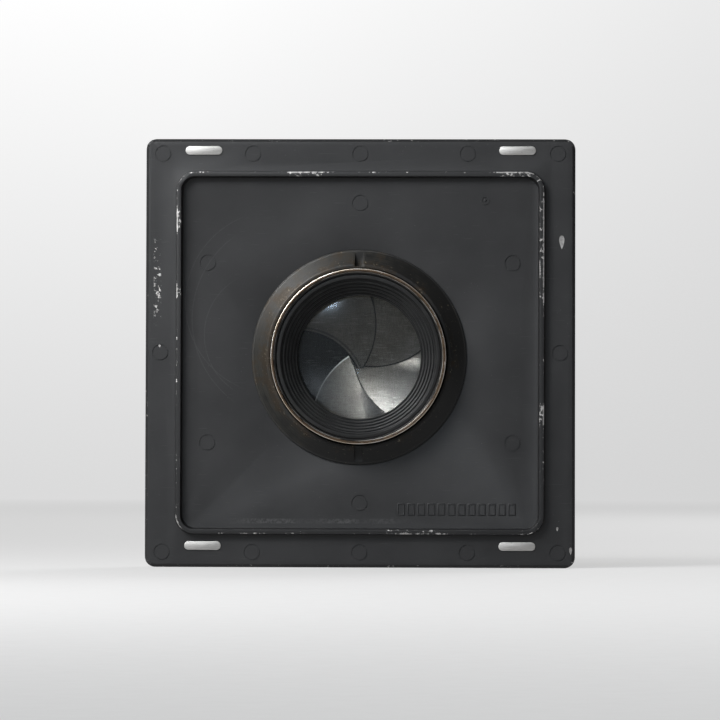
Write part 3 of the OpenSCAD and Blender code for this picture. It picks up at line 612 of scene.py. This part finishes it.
def case_enamel():
    """Fine crinkle enamel of the shutter's case, worn to metal along its corners."""
    f = Finish("case_enamel", Metallic=0.0, Specular_IOR_Level=0.5)
    crinkle = f.grains(0.55)
    wide = f.noise(12.0, 3.0, 0.6)
    chip = f.noise(1.3, 4.0, 0.7)
    rim = f.radius.above(case_r - 0.25, 0.1) * f.rear.below(case_front + 0.7, 0.3)
    wear = rim * (chip + wide * 0.3).above(0.80, 0.03)
    base = f.mix(wide.span(0.3, 0.7, 0.0, 1.0), (0.016, 0.016, 0.017), (0.028, 0.028, 0.030))
    f.feed(Base_Color=f.mix(wear, base, (0.6, 0.58, 0.55)), Roughness=crinkle * 0.15 + wide * 0.1 + 0.34,
           Metallic=wear * 0.9)
    return f.bump(crinkle, 0.09)


def satin_black():
    """Satin anodising of the front barrel, speed ring and name ring."""
    f = Finish("satin_black", Metallic=0.35, Specular_IOR_Level=0.5)
    lines = turning_lines(f, 0.22)
    wide = f.noise(9.0, 3.0, 0.6)
    chip = f.noise(1.0, 4.0, 0.7, shift=(2, 8, 1))
    nose = abs(f.radius - nose_r).below(0.4, 0.15) * f.rear.below(nose_front + 0.6, 0.2)
    wear = nose * (chip + wide * 0.3).above(0.78, 0.03)
    base = f.mix(wide.span(0.3, 0.7, 0.0, 1.0), (0.020, 0.020, 0.021), (0.036, 0.036, 0.037))
    f.feed(Base_Color=f.mix(wear, base, (0.7, 0.68, 0.64)), Roughness=lines * 0.16 + wide * 0.08 + 0.26,
           Metallic=wear * 0.6 + 0.3)
    return f.bump(lines, 0.03)


def scale_white():
    f = Finish("scale_white")
    grain = f.noise(0.4, 3.0, 0.6)
    f.feed(Base_Color=f.mix(grain.above(0.6, 0.1), (0.72, 0.71, 0.68), (0.5, 0.49, 0.46)),
           Roughness=grain * 0.2 + 0.45)
    return f


def coated_glass(name, tint):
    """Coated glass that lets the view through and gives back a faint tinted reflection."""
    f = Finish(name, Roughness=0.03, Metallic=0.0, IOR=1.52)
    tree = f.tree
    smear = f.noise(7.0, 3.0, 0.6)
    f.feed(Base_Color=f.mix(smear.above(0.55, 0.2), tint, tuple(c * 0.9 for c in tint)))
    through = f.add("ShaderNodeBsdfTransparent", {}, {0: (0.97, 0.975, 0.97, 1)})
    shine = f.add("ShaderNodeBsdfGlossy", {}, {0: (*tint, 1), "Roughness": 0.12})
    gleam = f.add("ShaderNodeFresnel", {}, {"IOR": 1.52}).math("MINIMUM", 0.08)
    mixed = f.add("ShaderNodeMixShader", {}, {0: gleam, 1: through, 2: shine})
    tree.links.new(mixed.socket, tree.nodes["Material Output"].inputs["Surface"])
    return f


# ---------------------------------------------------------------- sizes from the frame

board_low, board_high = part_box("lens_board")
board_mid = ((board_low.x + board_high.x) / 2 / MM, (board_low.z + board_high.z) / 2 / MM)
board_half = ((board_high.x - board_low.x) / 2 / MM, (board_high.z - board_low.z) / 2 / MM)
ridge_top = -board_low.y / MM
board_front = -board_high.y / MM
ridge_half = (board_half[0] - 11, board_half[1] - 11.8)
flange = -0.4
panel = -1.2
neck_r = 31.5
ring_r, ring_top, ring_base = span("retaining_ring")
rim_r, rim_top, rim_base = span("rear_barrel")
case_r, case_top, case_front = span("case_shell")
nose_r, _, nose_front = span("front_barrel")

# Stretches of the light trap and the edge rubbed hardest: x, z, half lengths along each.
rubbed_places = [(-20, 67, 8, 3), (58, 67, 12, 3), (68, 40, 3, 25), (68, -21, 3, 5), (-67, 50, 3, 6),
                 (-67, 24, 3, 3), (-67, -62, 4, 5), (20, -65, 12, 3)]

# Chips through the paint of the flange: x, z, half width, half height.
chips = [(74.4, 42.3, 1.15, 2.6), (72.9, -63.0, 0.5, 0.8), (-73.5, 4.0, 0.5, 0.6), (77.8, -71.0, 0.6, 1.4)]

# Long faint scratches that swing round the ring: centre x and z, radius, and the x they fade out at.
sweeps = [(-30.0, 20.0, 34.0, -44.0), (-24.0, 14.0, 37.5, -47.0), (-33.0, 8.0, 24.0, -46.0)]


# ---------------------------------------------------------------- board

def make_board():
    """The cast board: plate, light trap, seat pads, moulder's marks and the hole for the shutter."""
    cx, cz = board_mid
    w, h = 2 * board_half[0], 2 * board_half[1]
    t = flange - board_front
    board = block("lens_board_casting", (w, t, h), (cx, -flange + t / 2, cz), 4.0, 10)
    editing("FACE")
    choose(board, "polygons", lambda middle, way: way.y < -0.9)
    bpy.ops.mesh.inset(thickness=1.1 * MM)
    bpy.ops.mesh.select_all(action="DESELECT")
    done()
    rim = [v for v in board.data.vertices if outline_gap(v.co / MM) < 0.3 and v.co.y / MM < -flange + 0.01]
    for v in rim:
        v.co.y += 1.1 * MM
    rw, rh = 2 * ridge_half[0], 2 * ridge_half[1]
    rise = ridge_top - flange
    ridge = block("ridge", (rw, rise + 2, rh), (cx, -ridge_top + (rise + 2) / 2, cz), 7.0, 12)
    taper(ridge, 0.5)
    cut(board, ridge, "UNION")
    pocket = block("pocket", (rw - 5.2, ridge_top - panel + 1, rh - 5.2),
                   (cx, (-ridge_top - 1 - panel) / 2, cz), 5.0, 12)
    taper(pocket, -0.6)
    cut(board, pocket)
    recess = block("recess", (w - 16, 3, h - 16), (cx, -board_front + 0.5, cz), 3.0, 6)
    seat = rod("seat", case_r + 2, 6, (0, -board_front, 0), vertices=160)
    cut(recess, seat)
    cut(board, recess)
    cut(board, rod("neck_hole", neck_r + 0.1, 20, (0, 0, 0), vertices=160))
    cut(board, rod("key_hole", 1.25, 4, (0, -board_front, -42)))
    soften(board, 0.32, 3)
    marks = []
    edge_x, edge_z = board_half[0] - 5.5, board_half[1] - 5.5
    for side in (-1, 1):
        for x in (-0.46, -0.25, 0, 0.25, 0.46):
            marks.append(pin_mark(cx + x * w, cz + side * edge_z, flange))
        marks.append(pin_mark(cx + side * edge_x, cz, flange))
        for x in (-0.355, 0, 0.355):
            marks.append(pin_mark(cx + x * w, cz + side * (0.35 if x == 0 else 0.21) * h, panel))
    cut(board, joined("pin_marks", marks))
    frame_pitch = 3.7
    raised = [blank_frame((cx + 0.087 * w + 1.4 + i * frame_pitch, -panel, cz - 0.378 * h + 2.2))
              for i in range(12)]
    dot = (cx + 0.29 * w, -panel, cz + 0.357 * h)
    raised.append(rod("dot", 0.5, 0.6, dot))
    for side in (-1, 1):
        for z in (cz + board_half[1] - 4.3, cz - board_half[1] + 7.9):
            place = (cx + side * (board_half[0] - 21.3), 0.6, z)
            raised.append(block("pad", (13.5, 1.2, 3.2), place, 1.55, 8))
    for piece in raised:
        soften(piece, 0.12, 2)
    collar = rod("collar", 1.6, 0.5, dot)
    cut(collar, rod("collar_hole", 1.15, 2, dot))
    board = joined("lens_board_casting", [board, collar, *raised])
    settle(board, 30)
    fitted(board, board_paint(), SHUTTER, "board_black", "lens_board")
    board.data.materials.append(bare_pad().material)
    for face in board.data.polygons:
        if face.normal.y < -0.8 and abs(face.center.y) < 0.05 * MM:
            face.material_index = 1
    return board


def blank_frame(middle):
    """One of the small empty frames cast along the bottom of the panel."""
    frame_piece = block("blank_frame", (2.8, 0.5, 4.4), middle)
    cut(frame_piece, block("blank_hole", (1.8, 2, 3.4), middle))
    return frame_piece


def outline_gap(point):
    """How far inside the board's outline a point lies, by its straight sides."""
    return min(board_half[0] - abs(point.x - board_mid[0]), board_half[1] - abs(point.z - board_mid[1]))


def taper(obj, lean):
    """Draws the rear face of a block in by lean on each side."""
    low = min(v.co.y for v in obj.data.vertices)
    size = max(v.co.x for v in obj.data.vertices) - board_mid[0] * MM
    only(obj)
    editing("FACE")
    choose(obj, "polygons", lambda middle, way: way.y < -0.9)
    k = 1 - lean * MM / size
    bpy.ops.transform.resize(value=(k, 1, k), center_override=(board_mid[0] * MM, low, board_mid[1] * MM))
    done()


def pin_mark(x, z, level):
    """Cutter for the shallow groove round one of the mould's pins."""
    ring = rod("pin_ring", 3.0, 0.5, (x, -level, z), vertices=40)
    cut(ring, rod("pin_core", 2.65, 2, (x, -level, z), vertices=40))
    return ring


# ---------------------------------------------------------------- rear

def make_rear():
    base, top = ring_base, ring_top
    ring = turned("retaining_ring_turned", [
        (neck_r + 0.05, base), (ring_r, base), (ring_r, base + 0.9), (ring_r - 0.6, base + 0.95),
        (33.8, top), (rim_r + 0.35, top), (rim_r + 0.35, top - 1.1), (neck_r + 0.05, top - 1.1)], 0.3, 3, 192)
    for side in (-1, 1):
        cut(ring, block("notch", (3.0, 6, 9), (0, -base - 1.2 - 3, side * 37.6)))
    soften(ring, 0.12, 2, 50)
    fitted(settle(ring), ring_lacquer(), SHUTTER, "worn_brass", "retaining_ring")

    neck = ring_top - 0.8
    barrel = turned("rear_barrel_turned", [
        (25.05, rim_base), (29.45, rim_base), (29.45, neck), (rim_r - 0.5, neck), (rim_r - 0.5, neck + 0.95),
        (rim_r, neck + 0.95), (rim_r, rim_top - 0.1), (rim_r - 0.9, rim_top),
        (rim_r - 1.2, rim_top - 0.9), (rim_r - 1.8, rim_top - 0.9), (30.0, rim_top - 1.6),
        (30.0, neck + 1.2), (26.8, neck + 1.2), (26.8, -0.6), (25.05, -0.6), (25.05, -4.5), (23.6, -4.5),
        (23.6, -5.5), (25.05, -5.5)], 0.16, 3, 192)
    fitted(barrel, barrel_lacquer(), SHUTTER, "worn_brass", "rear_barrel")

    ribs = 5
    top = rim_top - 1.7
    fall = (top - 0.5 + 0.6 - 1.2) / ribs
    tread = (28.2 - 22.75) / ribs
    profile = [(26.75, -0.6), (26.75, neck + 1.25), (29.95, neck + 1.25), (29.95, top),
               (28.7, top), (28.2, top - 0.5)]
    for i in range(ribs):
        r, h = 28.2 - i * tread, top - 0.5 - (i + 1) * fall
        profile += [(r, h + 0.25), (r - 0.55 * tread, h + 0.1), (r - 0.62 * tread, h + 0.55),
                    (r - tread, h + 0.45)]
    profile += [(22.75, -0.6)]
    fitted(turned("rear_baffle_turned", profile, 0.08, 2, 192), baffle_black(), SHUTTER, "black_anodised",
           "rear_baffle")

    rear_glass = coated_glass("rear_glass", (0.80, 0.90, 1.0))
    fitted(turned("rear_glass_outer", dome(24.95, -4.5, 2.8, 2.6), 0, solid=True), rear_glass, SHUTTER,
           "coated_glass", "rear_element_outer")


def dome(radius, seat, edge, rise, steps=14, way=1):
    """Profile of a lens element: flat seat, an upright edge and a round crown, way 1 to the rear."""
    ball = (radius * radius + rise * rise) / (2 * rise)
    points = [(0.3, seat), (radius, seat)]
    for k in range(steps + 1):
        r = radius * (1 - k / steps) + 0.3 * (k / steps)
        points.append((r, seat + way * (edge + math.sqrt(ball * ball - r * r) - (ball - rise))))
    return points


# ---------------------------------------------------------------- shutter blades

blade_count = 5
blade_first = 141
pivot_r = 39.0
edge_r = 23.4
rim_reach = 45.4
back_r = 29.7
back_c = polar(26.8, 11)
tip_turn, tip_reach = 129, 3.6
tail = (24.0, 6.0)
drive_arm = 5.2
swing = 2 * math.asin((edge_r + 3) / (2 * pivot_r))


def shared_disc(name, level, thick, discs):
    """Thin plate on the overlap of several round discs (x, z, radius)."""
    x, z, radius = discs[0]
    plate = rod(name, radius, thick, (x, -level, z), vertices=256)
    for x, z, radius in discs[1:]:
        cut(plate, rod("round", radius, thick * 8, (x, -level, z), vertices=256), "INTERSECT")
    return plate


def make_blade(i):
    """One shutter blade: a thin sickle with a curved leading edge, its pivot hole and its drive pin."""
    rear, front = span(f"shutter_blade_{i + 1}")[1:]
    thick = 0.12
    level = rear - thick / 2
    lead = Vector((pivot_r, 0)) - polar(pivot_r, -math.degrees(swing))
    blade = shared_disc("blade", level, thick, [(0, 0, rim_reach), (lead.x, lead.y, rim_reach),
                                                (back_c.x, back_c.y, back_r)])
    size = 3 * edge_r
    keep = block("tip_keep", (size, 4, 2 * size), (tip_reach - size / 2, -level, 0))
    cut(blade, swung(keep, tip_turn), "INTERSECT")
    cut(blade, rod("lead", edge_r, 4, (lead.x, -level, lead.y), vertices=360))
    cut(blade, block("tail", (60, 4, 60), (tail[0] + 30, -level, tail[1] + 30)))
    cut(blade, rod("pivot_hole", 1.08, 4, (pivot_r, -level, 0), vertices=32))
    soften(blade, 0.035, 2, 50)
    pin = polar(drive_arm, -math.degrees(swing) / 2)
    reach = rod("drive_pin", 0.6, level - front, (pivot_r + pin.x, -(level + front) / 2, pin.y), vertices=24)
    soften(reach, 0.08, 2)
    blade = joined(f"shutter_blade_{i + 1}_steel", [blade, reach])
    turn = blade_first - i * 360 / blade_count
    swung(blade, turn)
    swing_round = Matrix.Rotation(math.radians(turn), 2)
    lean, tone, lead_edge_shadow, trail_shade_and_glint = blade_lean_and_painted_light[i]
    finish = blade_steel(f"blade_steel_{i + 1}", math.radians(turn), lean, tone, swing_round @ lead,
                         swing_round @ back_c, lead_edge_shadow, trail_shade_and_glint)
    node = f"shutter_blade_{i + 1}"
    return fitted(settle(blade, 30), finish, node, "blade_steel", node)


# How each thin blade stands and the light painted on it: its face's slope along x and z; its tone, a painted
# brightness that lifts some blades and darkens others by how the light falls on them; and its edges' colours,
# a painted shadow on each edge and, on the fourth blade's trailing edge, a painted highlight.
edge_shadow_colour = (0.010, 0.009, 0.008)
edge_highlight_colour = (0.75, 0.73, 0.70)
blade_lean_and_painted_light = [((0.02, 0.02), 0.9, edge_shadow_colour, edge_shadow_colour), ((-0.03, 0.01), 1.0, edge_shadow_colour, edge_shadow_colour),
              ((0.03, -0.02), 1.2, edge_shadow_colour, edge_shadow_colour), ((0.02, -0.01), 1.5, edge_shadow_colour, edge_highlight_colour),
              ((-0.02, -0.03), 0.45, edge_shadow_colour, edge_shadow_colour)]

# ---------------------------------------------------------------- case

lever_end = 58.0
lever_w = 5.0
wall = 47.9
wall_clear = 47.82
socket_level = -25.4

# Where the levers and the two sockets stand round the case, in degrees.
iris_at, viewing_at, cocking_at, release_at = 262, 98, 40, 150
cable_at, sync_at = 186, 222


def screw_place(k):
    """Middle of the k-th screw of the cover, in the thickness of the case's wall."""
    return polar((case_r + wall) / 2, 20 + 90 * k)


def make_case():
    """The shutter's case: back casting with its neck, shell with lever windows, and cover."""
    neck_top = ring_top - 0.8
    seat, floor = -5.4, span("case_back")[2]
    back = turned("case_back_cast", [
        (23.4, floor), (case_r, floor), (case_r, seat), (neck_r, seat), (neck_r, neck_top), (29.5, neck_top),
        (29.5, floor + 1), (23.4, floor + 1)], 0.4, 3, 192)
    cut(back, rod("key_hole", 1.22, 3, (0, -seat, -42), vertices=32))
    holes = [rod("pivot_hole", 0.68, 3, (p.x, -floor, p.y), vertices=24)
             for p in (polar(41, 12 + k * 360 / 7) for k in range(7))]
    cut(back, joined("pivot_holes", holes))
    fitted(settle(back), enamel, SHUTTER, "case_black", "case_back")

    shell = ring_of("case_shell_cast", case_r, wall, case_top, case_front, 192, 0.35)
    windows = [("iris_ring", 258.5, 305.5), ("blade_ring", 94.5, 106.1), ("cocking_lever", 36.5, 81.5),
               ("release_lever", 143.1, 157.7)]
    for node, start, end in windows:
        rear, front = span(node)[1:]
        cut(shell, arc_piece("window", [(wall - 3, rear + 0.15), (case_r + 2, rear + 0.15),
                                        (case_r + 2, front - 0.15), (wall - 3, front - 0.15)], start, end))
    for degrees, body_r, hole_r in ((cable_at, 3.1, 2.05), (sync_at, 3.0, 2.05)):
        way = polar(1, degrees)
        outward = (way.x, 0, way.y)
        for radius, reach in ((hole_r, wall), (body_r, case_r + 1.1)):
            middle = way * reach
            length = 12 if reach == wall else 3
            cut(shell, rod("socket_hole", radius, length, (middle.x, -socket_level, middle.y), outward))
    for k in range(4):
        place = screw_place(k)
        cut(shell, rod("screw_hole", 0.72, 10, (place.x, -case_front, place.y), vertices=24))
    fitted(settle(shell), enamel, SHUTTER, "case_black", "case_shell")

    rear, front = span("cover_plate")[1:]
    cover = ring_of("cover_turned", case_r, 31.05, rear, front, 192, 0.3)
    screws = []
    for k in range(4):
        place = screw_place(k)
        cut(cover, rod("screw_seat", 1.32, 1.2, (place.x, -front, place.y), vertices=32))
        cut(cover, rod("screw_hole", 0.72, 6, (place.x, -front, place.y), vertices=24))
        head = rod("screw_head", 1.26, 0.6, (place.x, -front - 0.3, place.y), vertices=32)
        shank = rod("screw_shank", 0.68, 4.4, (place.x, -front - 2.8, place.y), vertices=24)
        slot_cut = block("slot", (4, 0.7, 0.3), (place.x, -front, place.y))
        cut(head, swung(slot_cut, 40 * k + 10, place))
        soften(head, 0.07, 2)
        screws += [head, shank]
    fitted(settle(cover), enamel, SHUTTER, "case_black", "cover_plate")
    fitted(settle(joined("case_screws_turned", screws)), steel, SHUTTER, "bright_steel", "case_screws")


def lever_blade(rear, front, degrees, inner, grip=3):
    """Flat lever with a rounded end and a ribbed thumb rest, pointing out at an angle."""
    thick = rear - front
    end = lever_end - lever_w / 2
    arm = block("lever_arm", (end - inner, thick, lever_w), ((end + inner) / 2, -(rear + front) / 2, 0))
    cut(arm, rod("lever_tip", lever_w / 2, thick, (end, -(rear + front) / 2, 0), vertices=48), "UNION")
    for k in range(grip):
        for side in (rear, front):
            cut(arm, block("rib_groove", (0.5, 0.36, lever_w + 1), (lever_end - 1.3 - 1.1 * k, -side, 0)))
    soften(arm, 0.16, 2, 50)
    return swung(arm, degrees)


def make_levers():
    """The iris ring and the three levers that stand out through the case's windows."""
    rear, front = span("iris_ring")[1:]
    hoop = ring_of("iris_ring_turned", wall_clear, 36.5, rear, front, 192, 0.1)
    hoop = joined("iris_ring_turned", [hoop, lever_blade(rear, front, iris_at, wall_clear - 1.0)])
    fitted(settle(hoop), brass, "iris_drive", "brass", "iris_ring")

    rear, front = span("view_lever")[1:]
    lever = lever_blade(rear, front, viewing_at, wall_clear)
    fitted(settle(lever), steel, "blade_drive", "bright_steel", "view_lever")

    rear, front = span("cocking_lever")[1:]
    hub = ring_of("cocking_hub", 33.6, 31.08, rear, front, 160, 0.15)
    lever = joined("cocking_lever_cut", [hub, lever_blade(rear, front, cocking_at, 32.6)])
    fitted(settle(lever), steel, "cocking_lever", "bright_steel", "cocking_lever")

    rear, front = span("release_lever")[1:]
    post = polar(41.5, release_at)
    middle = -(rear + front) / 2
    boss = rod("release_boss", 3, rear - front, (post.x, middle, post.y))
    finger = block("release_finger", (7, rear - front, 2.4), (post.x + 3.5, middle, post.y))
    cut(boss, swung(finger, 35, post), "UNION")
    cut(boss, lever_blade(rear, front, release_at, 42.5), "UNION")
    cut(boss, rod("post_hole", 0.78, 5, (post.x, middle, post.y), vertices=24))
    boss.name = "release_lever_cut"
    fitted(settle(boss), steel, "release_lever", "bright_steel", "release_lever")


def make_sockets():
    """Cable release socket and flash socket, turned, each on its flat on the shell."""
    for name, degrees, body_r, bore_r, length in (("cable_socket", cable_at, 3.0, 1.6, 6.7),
                                                  ("sync_socket", sync_at, 2.9, 2.3, 5.7)):
        way = polar(1, degrees)
        outward = (way.x, 0, way.y)

        def at(radius, reach, long):
            middle = way * reach
            return rod("socket_part", radius, long, (middle.x, -socket_level, middle.y), outward)

        start = case_r - 0.4
        body = at(body_r, start + length / 2, length)
        for k in range(3):
            groove = at(body_r + 1, start + 1.6 + 1.3 * k, 0.4)
            cut(groove, at(body_r - 0.25, start + 1.6 + 1.3 * k, 1))
            cut(body, groove)
        cut(body, at(bore_r, start + 1.7 + length / 2, length))
        soften(body, 0.15, 2)
        neck = at(2.0, case_r - 1.7, 2.7)
        parts = [body, neck]
        if name == "sync_socket":
            pin = at(0.8, start + 2.9, 3.2)
            soften(pin, 0.25, 2)
            parts.append(pin)
        fitted(settle(joined(name + "_turned", parts)), steel, SHUTTER, "bright_steel", name)


# ---------------------------------------------------------------- front

def ticks(name, count, start, end, inner, outer, level, width=0.35, every=5):
    """Raised blank scale on a front face: fine lines along an arc, each every-th one longer."""
    marks = []
    for i in range(count):
        degrees = start + (end - start) * i / (count - 1)
        low = inner if i % every == 0 else inner + (outer - inner) * 0.45
        mark = block("tick", (outer - low, 0.08, width), ((outer + low) / 2, -level, 0))
        marks.append(swung(mark, degrees))
    return joined(name, marks)


def make_front():
    """Speed ring on its hub, front barrel, name ring and front glass."""
    rear, front = span("speed_ring")[1:]
    inner, outer = 33.08, 50.0
    ring = turned("speed_ring_turned", [
        (inner, rear), (outer, rear), (outer, front + 0.5), (outer - 1.2, front), (inner, front)],
        0.25, 2, 240)
    flute(ring, 72, 0.85, outer + 0.35, rear - 0.6, front - 1)
    window = [(43, front + 0.4), (45, front + 0.4), (45, front - 1), (43, front - 1)]
    cut(ring, arc_piece("speed_window", window, 60, 120))
    scale = ticks("speed_scale", 25, 128, 232, 40.5, 43.6, front)
    dots = [swung(rod("scale_dot", 0.45, 0.08, (46.6, -front, 0), vertices=20), 20 + 11 * k)
            for k in range(4)]
    fitted(settle(ring), satin, "speed_ring", "case_black", "speed_ring")
    fitted(settle(joined("speed_scale", [scale, *dots])), white, "speed_ring", "case_black")

    rear, front = span("speed_hub")[1:]
    hub = turned("speed_hub_turned", [
        (29, rear), (33, rear), (33, front + 0.8), (35, front + 0.8), (35, front), (29, front)], 0.15, 2, 160)
    fitted(hub, steel, SHUTTER, "bright_steel", "speed_hub")

    seat = front
    nose = nose_front
    barrel = turned("front_barrel_turned", [
        (28.95, seat + 9), (28.95, seat), (34.6, seat), (34.6, seat - 4), (36.4, seat - 5.2),
        (38.0, seat - 7.4),
        (nose_r, seat - 9), (nose_r, nose + 6.6), (nose_r - 0.4, nose + 6.4), (nose_r - 0.4, nose + 6.0),
        (nose_r, nose + 5.8), (nose_r, nose + 0.5), (nose_r - 0.5, nose), (38.5, nose), (38.5, nose + 0.5),
        (38.2, nose + 0.8), (38.5, nose + 1.1), (38.2, nose + 1.5), (38.5, nose + 1.9), (38.2, nose + 2.3),
        (38.5, nose + 2.7), (38.5, nose + 3.4), (37.7, nose + 3.4), (37.7, nose + 6), (33.05, nose + 6),
        (33.05, nose + 12), (25, nose + 12), (25, seat + 3.5), (26, seat + 3.5), (26, seat + 9)],
        0.15, 2, 240)
    flute(barrel, 90, 0.55, nose_r + 0.25, seat - 9.8, nose + 7.4)
    fitted(settle(barrel), satin, SHUTTER, "black_anodised", "front_barrel")

    z = nose + 6
    name_ring = turned("name_ring_turned", [
        (31, z + 0.6), (33.05, z), (37.65, z), (37.65, z - 2.5), (36.7, z - 2.5), (36.2, z - 2),
        (34.9, z - 1.6), (34.7, z - 1.9), (34.4, z - 1.5), (32, z - 0.8), (31, z - 0.4)], 0.1, 2, 240)
    for degrees in (0, 180):
        cut(name_ring, swung(block("spanner_slot", (2, 2, 1.4), (36.8, -z + 2.6, 0)), degrees))
    fitted(settle(name_ring), satin, SHUTTER, "black_anodised", "name_ring")

    outer = dome(33, nose + 12, 3, 2.6, way=-1)
    fitted(turned("front_glass_outer", outer, 0, solid=True), front_glass, SHUTTER, "coated_glass",
           "front_element_outer")


steel = bright_steel()
brass = clean_brass()
enamel = case_enamel()
satin = satin_black()
anodised = baffle_black()
leaf = iris_steel()
white = scale_white()
front_glass = coated_glass("front_glass", (0.95, 0.85, 1.0))
rear_inner = coated_glass("rear_inner_glass", (0.85, 0.92, 1.0))

make_board()
make_rear()
for number in range(blade_count):
    make_blade(number)
make_case()
make_levers()
make_sockets()
make_front()

# ---------------------------------------------------------------- what stays from the frame

finish_of = {
    "board_black": enamel, "worn_brass": brass, "black_anodised": anodised, "case_black": enamel,
    "bright_steel": steel, "blade_steel": steel, "iris_steel": leaf, "brass": brass,
    "coated_glass": front_glass,
}
slots = {part["node"]: part["material_slot"] for part in frame["record"]["subparts"]}
for node, obj in frame["nodes"].items():
    finish = finish_of[slots[node]]
    if node == "rear_element_inner":
        finish = rear_inner
    obj.data.materials.clear()
    obj.data.materials.append(finish.material)

# ---------------------------------------------------------------- stage


def make_stage():
    """Pale paper that lies flat under the board and sweeps up far ahead of it. It glows as painted light:
    brighter further back and higher up, drawn toward a middle grey on the right, seen in full by the camera
    and at a quarter by other rays.
    """
    near_edge, far_edge, bend = -6.0, 4.0, 2.2
    steps = 20
    clear()
    bpy.ops.mesh.primitive_plane_add(size=far_edge - near_edge,
                                     location=(0, (near_edge + far_edge) / 2, board_low.z))
    paper = bpy.context.object
    paper.name = "paper_sweep"
    paper.scale.x = 1.4
    bpy.ops.object.transform_apply(location=True, rotation=True, scale=True)
    editing("EDGE")
    choose(paper, "edges", lambda middle, way: middle.y * MM > far_edge - 0.01)
    last = Vector((0, 0))
    for k in range(1, steps + 1):
        angle = math.pi / 2 * k / steps
        here = Vector((bend * math.sin(angle), bend * (1 - math.cos(angle))))
        step = here - last
        bpy.ops.mesh.extrude_edges_move(TRANSFORM_OT_translate={"value": (0, step.x, step.y)})
        last = here
    bpy.ops.mesh.extrude_edges_move(TRANSFORM_OT_translate={"value": (0, 0, 4)})
    done()
    bpy.ops.object.shade_smooth()
    f = Finish("paper", Roughness=0.8, Emission_Strength=1.0)
    grain = f.noise(6.0, 3.0, 0.6)
    # Painted light: the paper's glow brightens further back and higher up and turns toward a middle grey on
    # the right.
    along = f.y.span(-1500.0, 4000.0, 0.0, 1.0)
    up = f.z.span(-100.0, 900.0, 0.0, 1.0)
    across = f.x.span(-450.0, 450.0, 0.0, 1.0)
    floor_glow = f.mix(along, (0.34, 0.338, 0.332), (0.64, 0.64, 0.64))
    glow = f.mix(up, floor_glow, (0.99, 0.99, 0.99))
    seen = f.add("ShaderNodeLightPath").span(0.0, 1.0, 0.25, 1.0)
    f.feed(Base_Color=f.mix(grain.span(0.3, 0.7, 0.0, 1.0), (0.27, 0.27, 0.272), (0.29, 0.29, 0.292)),
           Emission_Color=f.mix(seen, (0, 0, 0), f.mix(across * 0.4, glow, (0.52, 0.52, 0.52))))
    paper.data.materials.append(f.material)


def area_light(name, place, aim, size, energy, colour=(1, 1, 1)):
    light = bpy.data.lights.new(name, "AREA")
    light.shape = "RECTANGLE"
    light.size, light.size_y = size
    light.energy = energy
    light.color = colour
    obj = bpy.data.objects.new(name, light)
    bpy.context.scene.collection.objects.link(obj)
    obj.location = place
    obj.rotation_euler = (Vector(aim) - Vector(place)).to_track_quat("-Z", "Y").to_euler()
    return obj


def make_world():
    world = bpy.data.worlds.new("studio")
    bpy.context.scene.world = world
    world.use_nodes = True
    tree = world.node_tree
    back = tree.nodes["Background"]
    back.inputs["Color"].default_value = (0.93, 0.94, 0.96, 1)
    back.inputs["Strength"].default_value = 0.10
    seen = tree.nodes.new("ShaderNodeBackground")
    seen.inputs["Color"].default_value = (0.93, 0.935, 0.945, 1)
    seen.inputs["Strength"].default_value = 1.0
    path = tree.nodes.new("ShaderNodeLightPath")
    mixed = tree.nodes.new("ShaderNodeMixShader")
    tree.links.new(path.outputs["Is Camera Ray"], mixed.inputs[0])
    tree.links.new(back.outputs[0], mixed.inputs[1])
    tree.links.new(seen.outputs[0], mixed.inputs[2])
    tree.links.new(mixed.outputs[0], tree.nodes["World Output"].inputs["Surface"])


def make_camera():
    """Camera level with the board's foot, a little to its right, with the tilt of a hand-set tripod."""
    distance = 1.5
    azimuth, drop, roll = math.radians(1.6), math.radians(1.6), math.radians(0.17)
    target = Vector((board_mid[0] * MM, 0, board_mid[1] * MM - 0.0026))
    away = Vector((math.sin(azimuth) * math.cos(drop), -math.cos(azimuth) * math.cos(drop), -math.sin(drop)))
    data = bpy.data.cameras.new("camera")
    camera = bpy.data.objects.new("camera", data)
    bpy.context.scene.collection.objects.link(camera)
    camera.location = target + away * distance
    aim = (-away).to_track_quat("-Z", "Y") @ Quaternion((0, 0, 1), roll)
    camera.rotation_euler = aim.to_euler()
    data.sensor_width = 36
    data.lens = 36 * distance / 0.2645
    data.clip_start, data.clip_end = 0.05, 60
    bpy.context.scene.camera = camera


make_stage()
make_world()
make_camera()
area_light("key", (-0.40, -0.48, 0.42), (-0.02, 0, 0.03), (0.30, 0.26), 5.8)
area_light("side", (-1.25, -0.45, 1.15), (0, 0, 0), (0.5, 0.9), 5.5)
area_light("front", (0.9, 1.5, 1.2), (0, 0, 0), (0.9, 0.9), 16)
area_light("window", (-0.52, -1.75, 0.81), (0, 0, 0), (0.38, 0.25), 5.0, (0.80, 0.90, 1.0))
area_light("small_window", (-0.055, -1.5, -0.078), (0, 0, 0), (0.030, 0.018), 0.02, (0.45, 0.70, 1.0))
bpy.context.scene.view_settings.view_transform = "Standard"
